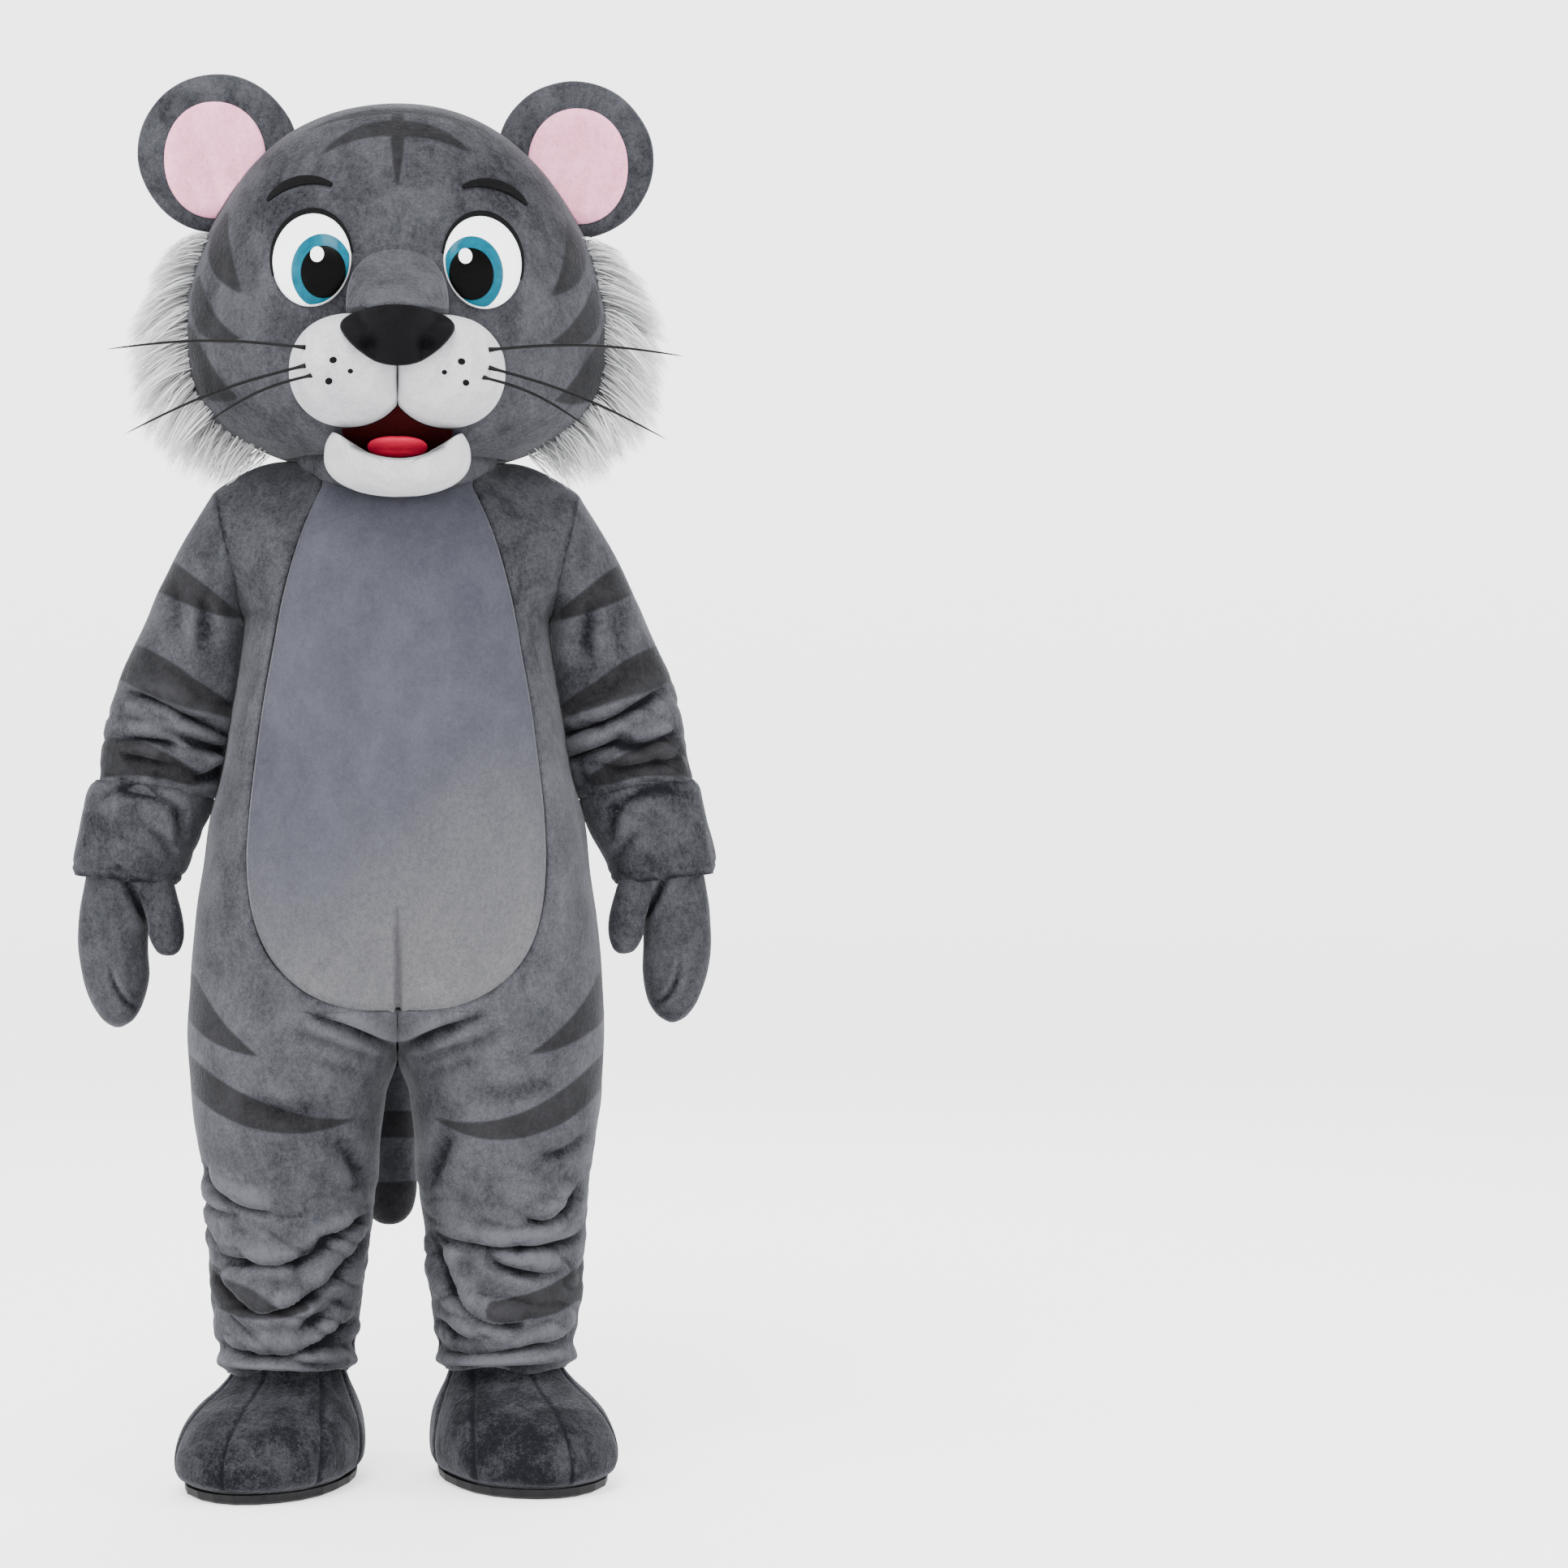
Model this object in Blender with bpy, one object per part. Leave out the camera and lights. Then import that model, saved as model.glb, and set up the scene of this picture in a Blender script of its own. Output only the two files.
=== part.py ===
"""Tiger mascot costume, worn and standing: head, jumpsuit, gloves, shoe covers and tail, all hollow.

Metres, +Z up. The face looks along -Y, and left is -X, as seen from the front. Heights in the
tables are above the floor; the empty "hold" lowers them, so that the origin is at the wearer's neck.
Walls are lofts: a surface function gives the cloth's outer side, and the wall is built inwards.
"""
import bmesh
import bpy
from math import acos, cos, exp, pi, radians, sin, sqrt
from mathutils import Vector

HOLD_HEIGHT = 1.36     # the wearer's neck above the floor
SEAM = 0.0003          # gap between pieces that are sewn together
REST = 0.0005          # gap under a piece that lies on another
CLOTH = 0.003          # plush fabric with its pile
FOAM = 0.010           # head foam with its plush
SHOE_WALL = 0.006      # padded plush of the shoe covers
SOLE = 0.014           # rubber sole
LEFT, RIGHT = -1, 1
FRONT, BACK = -1, 1
SIDES = (("left", LEFT), ("right", RIGHT))

# Jumpsuit sections: half width at the side seam, inner leg seam, depth to front and back, fullness
BODY = (
    "height side   inner  front  back   full",
    (0.120, 0.236, 0.062, 0.098, 0.103, 0.00),
    (0.179, 0.244, 0.055, 0.103, 0.107, 0.00),
    (0.250, 0.252, 0.046, 0.112, 0.115, 0.00),
    (0.325, 0.258, 0.037, 0.119, 0.122, 0.00),
    (0.407, 0.264, 0.028, 0.130, 0.131, 0.00),
    (0.489, 0.276, 0.019, 0.143, 0.143, 0.00),
    (0.560, 0.283, 0.011, 0.156, 0.158, 0.00),
    (0.620, 0.284, 0.000, 0.172, 0.176, 0.00),
    (0.680, 0.281, 0.000, 0.190, 0.189, 0.01),
    (0.756, 0.275, 0.000, 0.208, 0.190, 0.03),
    (0.826, 0.265, 0.000, 0.215, 0.178, 0.04),
    (0.896, 0.255, 0.000, 0.212, 0.166, 0.05),
    (0.955, 0.241, 0.000, 0.206, 0.160, 0.05),
    (1.019, 0.230, 0.000, 0.198, 0.156, 0.05),
    (1.072, 0.221, 0.000, 0.190, 0.155, 0.05),
    (1.170, 0.210, 0.000, 0.170, 0.152, 0.05),
)
HEM = 0.138
CROTCH = 0.575
CROTCH_EASE = 0.055    # height over which the legs draw apart
FORK = 0.690           # height at which the body starts to part into two legs
ARMPIT = 1.170
YOKE = 0.172           # height of the yoke, from the armpit to the neck
HEM_TILT = 0.12        # the hem is higher in front, over the instep
TILT_START = 0.25      # height below which the leg's end tilts

NECK_WIDE, NECK_FRONT, NECK_BACK = 0.1340, 0.118, 0.100
NECK_HEIGHT_FRONT, NECK_HEIGHT_SIDE, NECK_HEIGHT_BACK = 1.335, 1.372, 1.370
COLLAR_TOP = 1.400
SHOULDER = Vector((0.2486, 0, 1.344))
UNDERARM = Vector((0.2100, 0, ARMPIT))
ARMHOLE_DEPTH = 0.085

# The belly panel's seam: half width at each height; its round end is a superellipse below the widest
BELLY_SEAM = (
    "height wide",
    (0.855, 0.201),
    (0.932, 0.196),
    (1.028, 0.184),
    (1.122, 0.169),
    (1.198, 0.155),
    (1.278, 0.131),
    (1.345, 0.103),
)
BELLY_WIDEST, BELLY_BOTTOM, BELLY_ROUND = 0.855, 0.6434, 2.6

# Creases pressed into the legs and seat: across runs from 0, inseam, to 1, side seam
CREASES = (
    "side face height across reach slope  depth  width",
    (LEFT, FRONT, 0.440, 0.85, 0.16, 0.030, 0.009, 0.019),
    (LEFT, FRONT, 0.310, 0.52, 0.34, -0.022, 0.011, 0.018),
    (LEFT, FRONT, 0.246, 0.60, 0.36, -0.026, 0.011, 0.019),
    (LEFT, FRONT, 0.178, 0.55, 0.42, -0.016, 0.010, 0.016),
    (RIGHT, FRONT, 0.425, 0.90, 0.14, 0.026, 0.008, 0.019),
    (RIGHT, FRONT, 0.338, 0.50, 0.36, 0.006, 0.010, 0.017),
    (RIGHT, FRONT, 0.262, 0.42, 0.34, -0.036, 0.011, 0.018),
    (RIGHT, FRONT, 0.172, 0.50, 0.42, -0.012, 0.011, 0.017),
    (LEFT, BACK, 0.592, 0.42, 0.30, 0.004, 0.012, 0.020),
    (LEFT, BACK, 0.452, 0.58, 0.40, -0.030, 0.012, 0.021),
    (LEFT, BACK, 0.375, 0.90, 0.16, 0.012, 0.009, 0.017),
    (LEFT, BACK, 0.165, 0.48, 0.38, -0.012, 0.008, 0.017),
    (RIGHT, BACK, 0.596, 0.42, 0.32, 0.010, 0.012, 0.020),
    (RIGHT, BACK, 0.470, 0.40, 0.34, -0.018, 0.010, 0.021),
    (RIGHT, BACK, 0.375, 0.90, 0.16, 0.012, 0.009, 0.017),
    (RIGHT, BACK, 0.162, 0.52, 0.40, 0.006, 0.010, 0.017),
)

# Sleeve stations from the armhole down: outer edge, inner edge, half depth front to back
SLEEVE = (
    "out_x  out_z  in_x   in_z   depth",
    (0.2486, 1.3440, 0.2100, 1.1700, 0.085),
    (0.2766, 1.2989, 0.2150, 1.1350, 0.087),
    (0.3114, 1.2317, 0.2205, 1.0950, 0.088),
    (0.3472, 1.1556, 0.2255, 1.0550, 0.087),
    (0.3752, 1.0917, 0.2305, 1.0200, 0.085),
    (0.3925, 1.0301, 0.2365, 0.9850, 0.083),
    (0.4021, 0.9720, 0.2440, 0.9520, 0.079),
    (0.4075, 0.9350, 0.2600, 0.9200, 0.073),
    (0.4120, 0.9120, 0.2690, 0.8980, 0.070),
)
CUFF = (
    "out_x  out_z  in_x   in_z   depth",
    (0.4110, 0.9530, 0.2472, 0.9350, 0.0800),
    (0.4200, 0.9300, 0.2520, 0.9120, 0.0790),
    (0.4290, 0.8900, 0.2700, 0.8700, 0.0765),
    (0.4385, 0.8450, 0.2880, 0.8260, 0.0740),
    (0.4400, 0.8220, 0.2960, 0.8060, 0.0710),
)
# Sleeve creases: station on the table, angle round the sleeve from its outer edge, in degrees
SLEEVE_CREASES = (
    "station angle reach depth width slope",
    (1.6, 95, 60, 0.006, 0.30, 0.30),
    (3.9, 60, 95, 0.008, 0.28, 0.25),
    (4.9, 100, 90, 0.009, 0.25, -0.20),
    (5.8, 40, 95, 0.008, 0.25, 0.20),
    (3.6, 250, 80, 0.007, 0.28, -0.20),
    (5.2, 275, 90, 0.008, 0.26, 0.25),
)

# Mitten hand and thumb, from the wrist down
HAND = (
    "out_x  out_z  in_x   in_z   depth",
    (0.4286, 0.8700, 0.2885, 0.8600, 0.0690),
    (0.4190, 0.8450, 0.3050, 0.8350, 0.0600),
    (0.4230, 0.8100, 0.3260, 0.8050, 0.0500),
    (0.4300, 0.7700, 0.3360, 0.7650, 0.0455),
    (0.4320, 0.7300, 0.3380, 0.7250, 0.0430),
    (0.4270, 0.6850, 0.3365, 0.6830, 0.0430),
    (0.4150, 0.6480, 0.3440, 0.6480, 0.0390),
    (0.4000, 0.6260, 0.3560, 0.6260, 0.0280),
    (0.3860, 0.6165, 0.3700, 0.6165, 0.0110),
)
THUMB = (
    "out_x  out_z  in_x   in_z   depth",
    (0.3460, 0.7900, 0.3160, 0.8130, 0.0210),
    (0.3400, 0.7750, 0.2990, 0.7960, 0.0240),
    (0.3370, 0.7560, 0.2900, 0.7660, 0.0245),
    (0.3350, 0.7370, 0.2880, 0.7400, 0.0235),
    (0.3260, 0.7190, 0.2930, 0.7210, 0.0180),
    (0.3180, 0.7130, 0.3010, 0.7130, 0.0080),
)
THUMB_FORWARD, THUMB_GAP, TIP_ROUND = 0.028, 0.0026, 0.002

# Shoe cover sections, measured from the ankle's axis along the foot
SHOE = (
    "height wide   toe    heel",
    (0.0143, 0.110, 0.232, 0.110),
    (0.035, 0.118, 0.243, 0.113),
    (0.062, 0.119, 0.236, 0.111),
    (0.088, 0.112, 0.210, 0.106),
    (0.110, 0.099, 0.170, 0.099),
    (0.127, 0.085, 0.122, 0.092),
    (0.142, 0.076, 0.090, 0.087),
    (0.160, 0.072, 0.078, 0.083),
)
ANKLE_X = 0.1480
TOE_OUT = radians(17)

# Head sections from the neck opening to the crown
HEAD = (
    "height wide   front  back",
    (1.3840, 0.1370, 0.1210, 0.1030),
    (1.3900, 0.160, 0.142, 0.130),
    (1.4070, 0.201, 0.172, 0.176),
    (1.4320, 0.245, 0.198, 0.210),
    (1.4680, 0.277, 0.220, 0.236),
    (1.5110, 0.289, 0.235, 0.249),
    (1.5630, 0.291, 0.241, 0.253),
    (1.6160, 0.2845, 0.239, 0.250),
    (1.6700, 0.268, 0.228, 0.239),
    (1.7250, 0.241, 0.208, 0.217),
    (1.7800, 0.204, 0.178, 0.184),
    (1.8250, 0.157, 0.139, 0.143),
    (1.8550, 0.106, 0.095, 0.097),
    (1.8710, 0.052, 0.047, 0.048),
    (1.8757, 0.000, 0.000, 0.000),
)
HEAD_SEAM_Y = 0.0

EAR_X, EAR_HEIGHT, EAR_RADIUS = 0.2440, 1.8080, 0.1090
EAR_THICK, EAR_DISH, EAR_Y = 0.034, 0.014, 0.012
LINING_RADIUS, LINING_THICK = 0.074, 0.003

MUZZLE_X, MUZZLE_HEIGHT, MUZZLE_WIDE, MUZZLE_TALL = 0.064, 1.4880, 0.078, 0.071
MUZZLE_RISE, PAD_EDGE = 0.112, 0.006
BRIDGE_HEIGHT, BRIDGE_WIDE, BRIDGE_TALL, BRIDGE_RISE = 1.5650, 0.067, 0.080, 0.112
NOSE_HEIGHT, NOSE_WIDE, NOSE_TALL, NOSE_RISE = 1.5270, 0.057, 0.035, 0.026
NOSE_SEAT, NOSE_LEAST = 0.004, 0.080     # how its back bridges the valleys of the snout
MOUTH_HEIGHT, MOUTH_WIDE, MOUTH_TALL = 1.4200, 0.070, 0.044
JAW_HEIGHT, JAW_WIDE, JAW_TALL, JAW_RISE = 1.3830, 0.098, 0.053, 0.092
JAW_SEAT = 1.3880      # below this height the jaw's back hangs clear of the head
TONGUE_HEIGHT, TONGUE_WIDE, TONGUE_TALL, TONGUE_RISE = 1.3935, 0.040, 0.0125, 0.024
TONGUE_GAP = 0.0045     # clear of the curved lining behind it
EYE_X, EYE_HEIGHT, EYE_WIDE, EYE_TALL, EYE_RISE = 0.1120, 1.6330, 0.052, 0.063, 0.014
BROW_X, BROW_HEIGHT, BROW_RADIUS, BROW_WIDE = 0.1100, 1.6800, 0.055, 0.0065

# Cheek ruff locks, from the top down: root height, and the tip's reach and height
RUFF = (
    "root   tip_x  tip_z",
    (1.6750, 0.2750, 1.6720),
    (1.6500, 0.3330, 1.6450),
    (1.6360, 0.3080, 1.6280),
    (1.6200, 0.3480, 1.6080),
    (1.6050, 0.3200, 1.5920),
    (1.5870, 0.3480, 1.5700),
    (1.5700, 0.3240, 1.5550),
    (1.5500, 0.3500, 1.5300),
    (1.5330, 0.3220, 1.5150),
    (1.5130, 0.3460, 1.4900),
    (1.4960, 0.3120, 1.4750),
    (1.4780, 0.3250, 1.4480),
    (1.4630, 0.2900, 1.4400),
    (1.4450, 0.2980, 1.4100),
    (1.4330, 0.2640, 1.4100),
    (1.4180, 0.2680, 1.3790),
)
RUFF_FRONT, RUFF_BACK, RUFF_GAP = -0.062, 0.038, 0.0024

# Whiskers: root on the muzzle pad, the tip's place, and how far the root stands off the pad
WHISKERS = (
    "root_x root_z tip_x  tip_y  tip_z   clear",
    (0.1180, 1.5080, 0.3650, -0.215, 1.5120, 0.0014),
    (0.1180, 1.4850, 0.3450, -0.210, 1.4020, 0.0016),
    (0.1100, 1.4720, 0.2500, -0.250, 1.4120, 0.0000),
)
WHISKER_RADIUS = 0.0012

# Tail centre line from its root at the seat, with the radius there
TAIL = (
    "x      y      z      radius",
    (-0.004, 0.186, 0.846, 0.0360),
    (-0.004, 0.206, 0.843, 0.0375),
    (-0.005, 0.222, 0.833, 0.0385),
    (-0.005, 0.233, 0.817, 0.0390),
    (-0.005, 0.238, 0.795, 0.0395),
    (-0.006, 0.241, 0.740, 0.0400),
    (-0.008, 0.240, 0.560, 0.0400),
    (-0.012, 0.235, 0.380, 0.0400),
    (-0.012, 0.234, 0.352, 0.0385),
    (-0.012, 0.233, 0.332, 0.0320),
    (-0.012, 0.233, 0.318, 0.0190),
    (-0.012, 0.233, 0.3125, 0.0000),
)
TAIL_GAP = 0.0012      # clear of the seat, which is round


# ---------------------------------------------------------------- tables and curves

def column(table, name):
    """The numbers under one column name."""
    place = table[0].split().index(name)
    return [row[place] for row in table[1:]]


def smooth(keys, values, key):
    """The value at key on a smooth curve through the points, held level past both ends."""
    if key <= keys[0]:
        return values[0]
    if key >= keys[-1]:
        return values[-1]
    low = max(index for index in range(len(keys) - 1) if keys[index] <= key)
    span = keys[low + 1] - keys[low]
    part = (key - keys[low]) / span

    def slope(index):
        before, after = max(index - 1, 0), min(index + 1, len(keys) - 1)
        return (values[after] - values[before]) / (keys[after] - keys[before])

    rise = values[low + 1] - values[low]
    start, end = slope(low) * span, slope(low + 1) * span
    square, cube = part ** 2, part ** 3
    return (values[low] + start * (cube - 2 * square + part) + rise * (3 * square - 2 * cube)
            + end * (cube - square))


def at_key(table, name, key):
    """Column name at a value of the table's first column."""
    return smooth(column(table, table[0].split()[0]), column(table, name), key)


def at_station(table, name, station):
    """Column name at a station, counted from 0 at the table's first row."""
    values = column(table, name)
    return smooth(list(range(len(values))), values, station)


def solve(function, low, high, steps=34):
    """The place where a rising function passes zero."""
    for _ in range(steps):
        middle = (low + high) / 2
        if function(middle) < 0:
            low = middle
        else:
            high = middle
    return (low + high) / 2


# ---------------------------------------------------------------- scene, materials and mesh builders

def clear_scene():
    for old in list(bpy.data.objects):
        bpy.data.objects.remove(old, do_unlink=True)


def finish(name, colour, roughness, metallic=0.0):
    material = bpy.data.materials.new(name)
    material.use_nodes = True
    shader = material.node_tree.nodes["Principled BSDF"]
    shader.inputs["Base Color"].default_value = (*colour, 1)
    shader.inputs["Roughness"].default_value = roughness
    shader.inputs["Metallic"].default_value = metallic
    return material


def place(name, data, material):
    """An object of the costume, hung on the hold, in its collection."""
    piece = bpy.data.objects.new(name, data)
    data.materials.append(material.copy())
    collection.objects.link(piece)
    piece.parent = hold
    return piece


def mesh_piece(name, points, faces, material):
    """A closed solid from points and faces, its faces turned outwards, shaded smooth."""
    mesh = bpy.data.meshes.new(name)
    mesh.from_pydata(points, [], faces)
    sheet = bmesh.new()
    sheet.from_mesh(mesh)
    bmesh.ops.remove_doubles(sheet, verts=sheet.verts, dist=1e-6)
    bmesh.ops.recalc_face_normals(sheet, faces=sheet.faces)
    bmesh.ops.triangulate(sheet, faces=sheet.faces)
    sheet.to_mesh(mesh)
    sheet.free()
    mesh.shade_smooth()
    mesh.set_sharp_from_angle(angle=radians(60))
    return place(name, mesh, material)


def outward(surface, u, v, core):
    """The surface's unit normal at (u, v), pointing away from the core point."""
    step = 1e-3
    along_u = surface(u + step, v) - surface(u - step, v)
    along_v = surface(u, v + step) - surface(u, v - step)
    normal = along_u.cross(along_v).normalized()
    if normal.dot(surface(u, v) - core) < 0:
        normal.negate()
    return normal


def wall(name, surface, grid, core, thickness, material, keep=lambda point: point, closed=False):
    """A cloth wall: rows of (u, v) on its outer surface, and an inner side set in by the thickness.

    core(u, v) is a point inside the garment, keep moves a point to its own side of a flat seam, and
    closed joins each row's end to its start. A row of equal points closes an end.
    """
    outer = [[keep(surface(u, v)) for u, v in row] for row in grid]
    inner = [[keep(surface(u, v) - thickness * outward(surface, u, v, core(u, v))) for u, v in row]
             for row in grid]
    rows, count = len(grid), len(grid[0])
    points = [point for side in (outer, inner) for row in side for point in row]

    def number(side, row, place_in_row):
        return (side * rows + row) * count + place_in_row % count

    spans = count if closed else count - 1
    faces = []
    for row in range(rows - 1):
        for spot in range(spans):
            corners = ((row, spot), (row, spot + 1), (row + 1, spot + 1), (row + 1, spot))
            for side in (0, 1):
                faces.append([number(side, *corner) for corner in corners])
    edges = [((row, spot), (row, spot + 1)) for row in (0, rows - 1) for spot in range(spans)]
    if not closed:
        edges += [((row, spot), (row + 1, spot)) for spot in (0, count - 1) for row in range(rows - 1)]
    for start, end in edges:
        faces.append([number(0, *start), number(0, *end), number(1, *end), number(1, *start)])
    return mesh_piece(name, points, faces, material)


def lens(name, centre, reach, front, back, rings, spokes, material):
    """A pad: spokes run from its centre to its edge in the x-z plane, between a front and a back."""
    points = [front(*centre), back(*centre)]
    for side in (front, back):
        for ring in range(1, rings + 1):
            for spoke in range(spokes):
                angle = 2 * pi * spoke / spokes
                distance = reach(angle) * sin(pi / 2 * ring / rings)
                points.append(side(centre[0] + distance * cos(angle), centre[1] + distance * sin(angle)))
    faces = []
    for side in (0, 1):
        base = 2 + side * rings * spokes
        for spoke in range(spokes):
            after = (spoke + 1) % spokes
            faces.append([side, base + spoke, base + after])
            for ring in range(rings - 1):
                low, high = base + ring * spokes, base + (ring + 1) * spokes
                faces.append([low + spoke, high + spoke, high + after, low + after])
    front_edge, back_edge = 2 + (rings - 1) * spokes, 2 + (2 * rings - 1) * spokes
    for spoke in range(spokes):
        after = (spoke + 1) % spokes
        faces.append([front_edge + spoke, front_edge + after, back_edge + after, back_edge + spoke])
    return mesh_piece(name, points, faces, material)


def loft(name, rings, material):
    """A solid through closed rings of points, with its two end rings filled."""
    count = len(rings[0])
    points = [point for ring in rings for point in ring]
    faces = []
    for row in range(len(rings) - 1):
        for spot in range(count):
            after = (spot + 1) % count
            low, high = row * count, (row + 1) * count
            faces.append([low + spot, low + after, high + after, high + spot])
    faces.append(list(range(count)))
    faces.append(list(range((len(rings) - 1) * count, len(rings) * count)))
    return mesh_piece(name, points, faces, material)


# ---------------------------------------------------------------- the jumpsuit's shape

def crease_depth(side, face, across, height):
    """How far the cloth is pressed in, by all the creases of one leg's face."""
    depth = 0.0
    for row in CREASES[1:]:
        crease_side, crease_face, middle, centre, reach, slope, deep, width = row
        if (crease_side, crease_face) != (side, face):
            continue
        along = (across - centre) / reach
        offset = (height - middle - slope * along) / width
        fade = max(0.0, 1 - along ** 2) ** 1.5
        depth += deep * fade * (exp(-offset ** 2) - 0.55 * exp(-(offset - 1.7) ** 2))
    return depth


def section_point(side, face, across, height):
    """A point on the body or leg below the armpit, on a level section."""
    wide = at_key(BODY, "side", height)
    deep = at_key(BODY, "front" if face == FRONT else "back", height)
    full = at_key(BODY, "full", height)
    if height >= FORK:
        centre, half, last = 0.0, wide, pi / 2
    elif height > CROTCH:
        part = sin(pi / 2 * (FORK - height) / (FORK - CROTCH)) ** 2
        half = wide / (1 + part)
        centre, last = wide - half, acos(max(-1.0, -part))
    else:
        apart = min(1.0, (CROTCH - height) / CROTCH_EASE)
        inner = at_key(BODY, "inner", height) * apart ** 2 * (3 - 2 * apart)
        centre, half, last = (wide + inner) / 2, (wide - inner) / 2, pi
    angle = last * (1 - across)
    swell = 1 + full * sin(2 * angle) ** 2 - crease_depth(side, face, across, height) / half
    x = centre + half * cos(angle) * swell
    y = face * deep * sin(angle) * swell
    lift = HEM_TILT * max(0.0, (TILT_START - height) / (TILT_START - HEM))
    return Vector((side * x, y, height - lift * y))


def armhole_point(side, face, part):
    """A point on the armhole, from the underarm, 0, to the shoulder, 1, round the face's side."""
    centre, along = (SHOULDER + UNDERARM) / 2, (SHOULDER - UNDERARM) / 2
    angle = pi * part
    point = centre - along * cos(angle) + Vector((0, face * ARMHOLE_DEPTH * sin(angle), 0))
    return Vector((side * point.x, point.y, point.z))


def neck_point(side, face, part):
    """A point on the neckline, from the centre, 0, to the shoulder seam, 1."""
    angle = pi / 2 * part
    deep, middle = (NECK_FRONT, NECK_HEIGHT_FRONT) if face == FRONT else (NECK_BACK, NECK_HEIGHT_BACK)
    height = middle + (NECK_HEIGHT_SIDE - middle) * sin(angle) ** 2
    return Vector((side * NECK_WIDE * sin(angle), face * deep * cos(angle), height))


def yoke_point(side, face, across, rise):
    """A point above the armpit: a patch between the chest, neckline, shoulder and armhole."""
    def top(part):
        if part <= NECK_SHARE:
            return neck_point(side, face, part / NECK_SHARE)
        neck_side = neck_point(side, face, 1)
        shoulder = Vector((side * SHOULDER.x, SHOULDER.y, SHOULDER.z))
        return neck_side.lerp(shoulder, (part - NECK_SHARE) / (1 - NECK_SHARE))

    def centre_line(part):
        chest, neck = section_point(side, face, 0, ARMPIT), neck_point(side, face, 0)
        bulge = Vector((0, face * 0.012 * sin(pi * part), 0))
        return chest.lerp(neck, part) + bulge

    bottom_row = section_point(side, face, across, ARMPIT)
    corners = (section_point(side, face, 0, ARMPIT).lerp(armhole_point(side, face, 0), across)
               .lerp(neck_point(side, face, 0).lerp(armhole_point(side, face, 1), across), rise))
    rows = bottom_row.lerp(top(across), rise)
    sides = centre_line(rise).lerp(armhole_point(side, face, rise), across)
    return rows + sides - corners


def body_point(side, face, across, height):
    """A point on the jumpsuit's outer side, from the centre seam, 0, to the side seam, 1."""
    if height <= ARMPIT:
        return section_point(side, face, across, height)
    return yoke_point(side, face, across, (height - ARMPIT) / YOKE)


def body_core(side, height):
    """A point inside the jumpsuit, level with a height."""
    if height < FORK:
        return Vector((side * ANKLE_X, 0, height))
    if height <= ARMPIT:
        return Vector((side * 0.10, 0, height))
    return Vector((side * 0.12, 0, 1.20))


def belly_half_width(height):
    """Half width of the belly panel, its seam's place at a height."""
    if height >= BELLY_WIDEST:
        return at_key(BELLY_SEAM, "wide", height)
    drop = (BELLY_WIDEST - height) / (BELLY_WIDEST - BELLY_BOTTOM)
    widest = BELLY_SEAM[1][1]
    return widest * max(0.0, 1 - min(1.0, drop) ** BELLY_ROUND) ** (1 / BELLY_ROUND)


def belly_seam(side, level, shift):
    """How far across the front the belly seam lies, moved outwards by shift."""
    def past_seam(across):
        point = body_point(side, FRONT, across, level)
        return abs(point.x) - belly_half_width(point.z + shift) - shift

    return solve(past_seam, 0.0, 0.95)


# ---------------------------------------------------------------- the jumpsuit's pieces

LEG_ROWS = [HEM, 0.150, 0.162, 0.174, 0.187, 0.200, 0.215, 0.230, 0.245, 0.260, 0.275, 0.292, 0.310,
            0.328, 0.345, 0.362, 0.380, 0.405, 0.430, 0.455, 0.480, 0.520, 0.555]
FORK_ROWS = [CROTCH, 0.586, 0.600, 0.614, 0.629]
FRONT_BODY_ROWS = [BELLY_BOTTOM, 0.6495, 0.659, 0.671, 0.688, 0.713, 0.746, 0.790, 0.850, 0.920, 0.990,
                   1.050, 1.110, ARMPIT]
BACK_BODY_ROWS = [0.640, 0.662, FORK, 0.740, 0.800, 0.860, 0.920, 0.990, 1.060, 1.120, ARMPIT]
YOKE_ROWS = [ARMPIT + YOKE * part for part in (0.25, 0.5, 0.75, 1.0)]
# Where the columns of points run: across a back, across a front from the belly seam, and from the
# belly's centre to its seam. At the neckline they all meet the neck band's corners, NECK_SPOTS round
NECK_SHARE = 0.55
NECK_SPOTS = 16
BACK_COLUMNS = (0, 0.1375, 0.275, 0.4125, 0.55, 0.70, 0.85, 1)
FRONT_COLUMNS = (0, 0.152, 0.351, 0.50, 0.65, 0.82, 1)
BELLY_COLUMNS = (-1, -0.896, -0.68, -0.448, -0.22, 0, 0.22, 0.448, 0.68, 0.896, 1)


def own_side(side, face):
    """Keeps a panel's points on its own side of the centre seam and of the side seam."""
    def keep(point):
        x = side * max(side * point.x, SEAM / 2)
        y = face * max(face * point.y, SEAM / 2)
        moved = Vector((x, y, point.z))
        if point.z > ARMPIT - CLOTH:
            moved = outside_neck(beside_armhole(moved, side, -1))
        return moved

    return keep


def outside_neck(point):
    """Keeps a yoke's points out of the neckline, where the neck band stands."""
    deep = NECK_FRONT if point.y < 0 else NECK_BACK
    reach = sqrt((point.x / NECK_WIDE) ** 2 + (point.y / deep) ** 2)
    if reach >= 1:
        return point
    return Vector((point.x / reach, point.y / reach, point.z))


def beside_armhole(point, side, part):
    """Moves a point to one side of the armhole's plane: -1 the body, 1 the sleeve."""
    shoulder = Vector((side * SHOULDER.x, 0, SHOULDER.z))
    along = shoulder - Vector((side * UNDERARM.x, 0, UNDERARM.z))
    normal = Vector((side * along.z, 0, -side * along.x)).normalized()
    distance = part * (point - shoulder).dot(normal)
    if distance < SEAM:
        point = point + part * (SEAM - distance) * normal
    return point


def front_across(start, part):
    """Where a front's column lies across it; a short start moves only the columns near the seam."""
    power = 1 + 2 * max(0.0, 1 - start / 0.3)
    return part + start * (1 - part) ** power


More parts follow.
